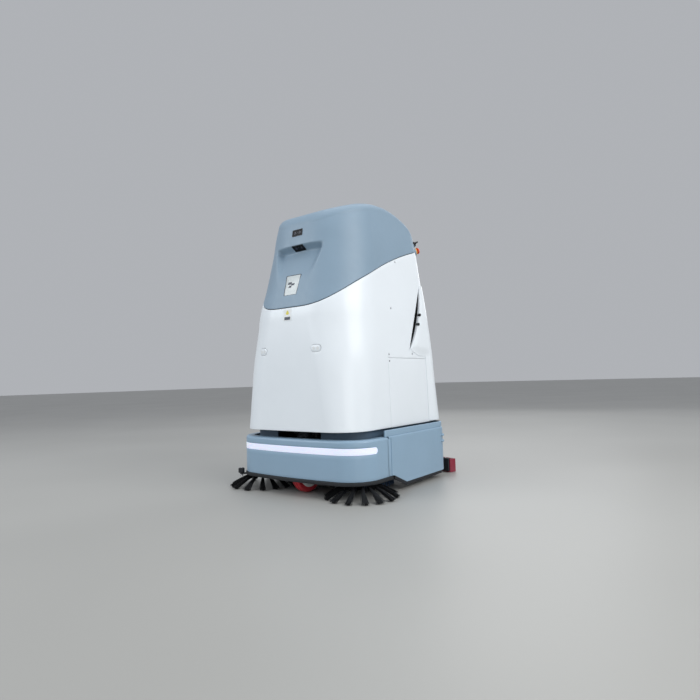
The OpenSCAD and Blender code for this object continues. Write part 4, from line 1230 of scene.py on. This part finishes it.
def scrub_brush(sign, tag):
    centre = move(sign * 125, 350, 0)
    disc = Piece()
    disc.add(spin([(0, 30), (113, 30), (115, 32), (115, 41), (112, 44), (20, 44), (16, 47), (16, 63),
        (0, 63)], [0, 1, 1, 2, 2, 3, 2, 1, 0], 72), 0, centre)
    rng = np.random.default_rng(23 + sign)
    starts, ends = [], []
    for r, count in ((47, 14), (62, 20), (78, 26), (93, 32), (106, 38)):
        for k in range(count):
            ang = 2 * pi * (k + 0.5 * (r % 2)) / count
            for _ in range(9):
                d, b = 3 * sqrt(rng.random()), rng.random() * 2 * pi
                px, py = r * cos(ang) + d * cos(b), r * sin(ang) + d * sin(b)
                starts.append((px, py, 31))
                grow = 1.02 + 0.01 * rng.normal()
                ends.append((px * grow + rng.normal(0, 1), py * grow + rng.normal(0, 1), 1.4))
    starts, ends = np.array(starts), np.array(ends)
    disc.add(filaments(starts, (starts + ends) / 2, ends, 0.8, 2), 1, centre)
    disc.build(f"scrub_brush_bristles_{tag}", "motor scrub", f"scrub_brush_{tag}", f"scrub_brush_{tag}",
        "scrub_bristle", fix=False, sharp=60)


for sign, tag in SIDES:
    side_brush(sign, tag)
    scrub_brush(sign, tag)


# ---- squeegee
SQ_R, SQ_C, SQ_A = 900, -57, 21.3


def arc_path(angle):
    a = radians(angle)
    return SQ_R * sin(a), SQ_C + SQ_R * cos(a), sin(a), cos(a)


def arc_bar(pts, a0=-SQ_A, a1=SQ_A, n=70):
    return sweep(list(np.linspace(a0, a1, n + 1)), lambda t: pts, arc_path)


frame_bar = rounded([(4, 34), (34, 34), (34, 60), (26, 60), (24, 55), (14, 55), (12, 60), (4, 60)],
    [1.5, 1.5, 2.5, 1.5, 1, 1, 1.5, 2.5], 3)
squeegee = Piece()
squeegee.add(arc_bar(frame_bar, -21, 21))
squeegee.add(box((-44, 758, 52), (88, 60, 8), 2.5))
squeegee.add(spin([(10.2, 52), (22, 52), (22, 72), (20, 74), (10.2, 74), (10.2, 52)], [0, 1, 1.5, 1.5, 1, 0],
    48), 0, move(0, 778, 0))
squeegee.add(spin([(15, 50), (19, 50), (19, 90), (17.5, 93), (15, 93), (15, 50)], [0, 1, 1, 1, 0.6, 0], 48),
    0, move(0, 818, 0))
bracket = rounded([(38, 6), (44, 6), (44, 66), (34, 66), (34, 60.5), (38, 60)], [1, 1.5, 2, 1.5, 0.5, 0.5], 3)
for a0, a1 in ((18, 21.25), (-21.25, -18)):
    squeegee.add(arc_bar(bracket, a0, a1, 8))
for a in (-18.5, -14, -9.5, -5, 5, 9.5, 14, 18.5):
    x, y, nx, ny = arc_path(a)
    squeegee.add(spin([(0, 55), (6.5, 55), (6.5, 60.5), (3.2, 61.5), (3.2, 63.5), (0, 63.8)],
        [0, 0.6, 1, 0.5, 1, 0], 24), 1, move(x - nx * 19, y - ny * 19, 0))
squeegee.build("squeegee_frame_bar", "black bright", "squeegee", "squeegee_body", "black_trim", sharp=40)
Piece().add(arc_bar(rounded([(34, 1.2), (37.4, 1.2), (37.4, 46), (34, 46)], 0.8, 2), -21,
    21)).build("front_blade_strip", "blade", "squeegee", "front_blade", "red_blade", sharp=40)
rear_blade = Piece()
rear_blade.add(arc_bar(rounded([(0, 1.2), (4, 1.2), (4, 62), (0, 62)], [0.6, 0.6, 1.2, 1.2], 2)))
for a0, a1 in ((21.02, 21.34), (-21.34, -21.02)):
    rear_blade.add(arc_bar(rounded([(-0.3, 1.2), (34, 1.2), (34, 62), (-0.3, 62)], 2.2, 4), a0, a1, 3))
for a in (-20.6, 20.6, -16, 16, -11, 11, -6, 6, -1.5, 1.5):
    x, y, nx, ny = arc_path(a)
    rear_blade.add(spin([(0, 0), (5, 0), (4.4, 1.6), (0, 1.9)], [0, 0.3, 0.6, 0], 20), 1,
        move(x - nx * 0.1, y - ny * 0.1, 49) @ turn("Z", 90 - a) @ turn("Y", 90))
rear_blade.build("rear_blade_strip", "blade bright", "squeegee", "rear_blade", "red_blade", sharp=40)


# ---- CAD parts that stay as they are
STAY = {
    "steel": ["chassis_frame", "body_frame", "scrub_deck", "squeegee_arm", "steering_fork"],
    # the neck wall gets the darkened colour that paints the shade under the body
    "neck": ["neck_wall"],
    "black": ["top_deck", "side_skirts", "grab_recesses"],
    "bright": ["steering_gear", "steering_pinion", "rear_axles", "hinge_pins"],
    "motor": ["steering_motor", "side_brush_motors", "scrub_motors", "vacuum_motor", "water_pump"],
    "tank": ["clean_water_tank", "recovery_tank"],
    "case": ["battery_pack", "control_box"],
}
for key, names in STAY.items():
    for name in names:
        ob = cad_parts[name]
        if not ob.material_slots:
            ob.data.materials.append(MAT[key])
        for s in ob.material_slots:
            s.link = "OBJECT"
            s.material = MAT[key]
        bevel(ob, 1.2, 40)


# ---- floor, light and camera
m = Nodes(bpy.data.materials.new("studio_floor"))
cloudy = m.ramp(m.noise(1.1, 1), 0.3, 0.7, 0, 1)
m.surface({"Base Color": m.mix(cloudy, (0.385, 0.385, 0.368), (0.41, 0.41, 0.392)),
    "Roughness": m.ramp(m.noise(0.8, 0), 0.1, 0.9, 0.4, 0.46), "Specular IOR Level": 0.45})
floor = bpy.data.meshes.new("floor")
floor.from_pydata([(*p, 0) for p in rect(2 * FLOOR_HALF, 2 * FLOOR_HALF)], [], [(0, 1, 2, 3)])
floor.materials.append(m.owner)
linked("floor", floor)


def area_light(name, place, target, size, watts, colour):
    data = given(bpy.data.lights.new(name, "AREA"), shape="RECTANGLE", size=size[0], size_y=size[1],
        energy=watts, color=colour)
    given(linked(name, data), location=place, rotation_mode="QUATERNION",
        rotation_quaternion=(Vector(target) - Vector(place)).to_track_quat("-Z", "Y"))


area_light("key", (4.2, -0.6, 3), (0, 0, 0.6), (3, 2.4), 106, (1, 0.99, 0.975))
area_light("fill", (-2.6, -3.6, 2.6), (0, 0, 0.6), (3.2, 2.6), 84, (0.94, 0.97, 1))
area_light("top", (0.4, 0.4, 4.4), (0, 0, 0.4), (4, 4), 54, (0.98, 0.99, 1))
area_light("low", (3.1, -2.3, 0.75), (0.2, -0.1, 0.3), (1.8, 1.1), 15, (0.97, 0.985, 1))
area_light("back", (-1, 4.4, 2.4), (0, 0, 0.7), (3, 2), 34, (0.96, 0.98, 1))

world = bpy.data.worlds.new("studio")
scene.world = world
sky = Nodes(world)
glow = sky.node("Background", {"Color": (0.6, 0.62, 0.655, 1), "Strength": 0.72})["Background"]
sky.node("OutputWorld", {"Surface": glow})

scene.view_settings.view_transform = "Standard"
scene.view_settings.look = "None"

yaw, pitch, roll = radians(36.46), radians(3.22), radians(-1.56)
ahead = Vector((-cos(pitch) * sin(yaw), cos(pitch) * cos(yaw), sin(pitch)))
across = ahead.cross(Vector((0, 0, 1))).normalized()
above = across.cross(ahead)
right = across * cos(roll) + above * sin(roll)
up = right.cross(ahead)
data = given(bpy.data.cameras.new("camera"), lens=27.33, sensor_width=36, sensor_fit="HORIZONTAL",
    clip_start=0.05, clip_end=100)
scene.camera = linked("camera", data)
view = Matrix((right, up, -ahead)).transposed().to_4x4()
scene.camera.matrix_world = Matrix.Translation((1.442, -1.945, 0.444)) @ view
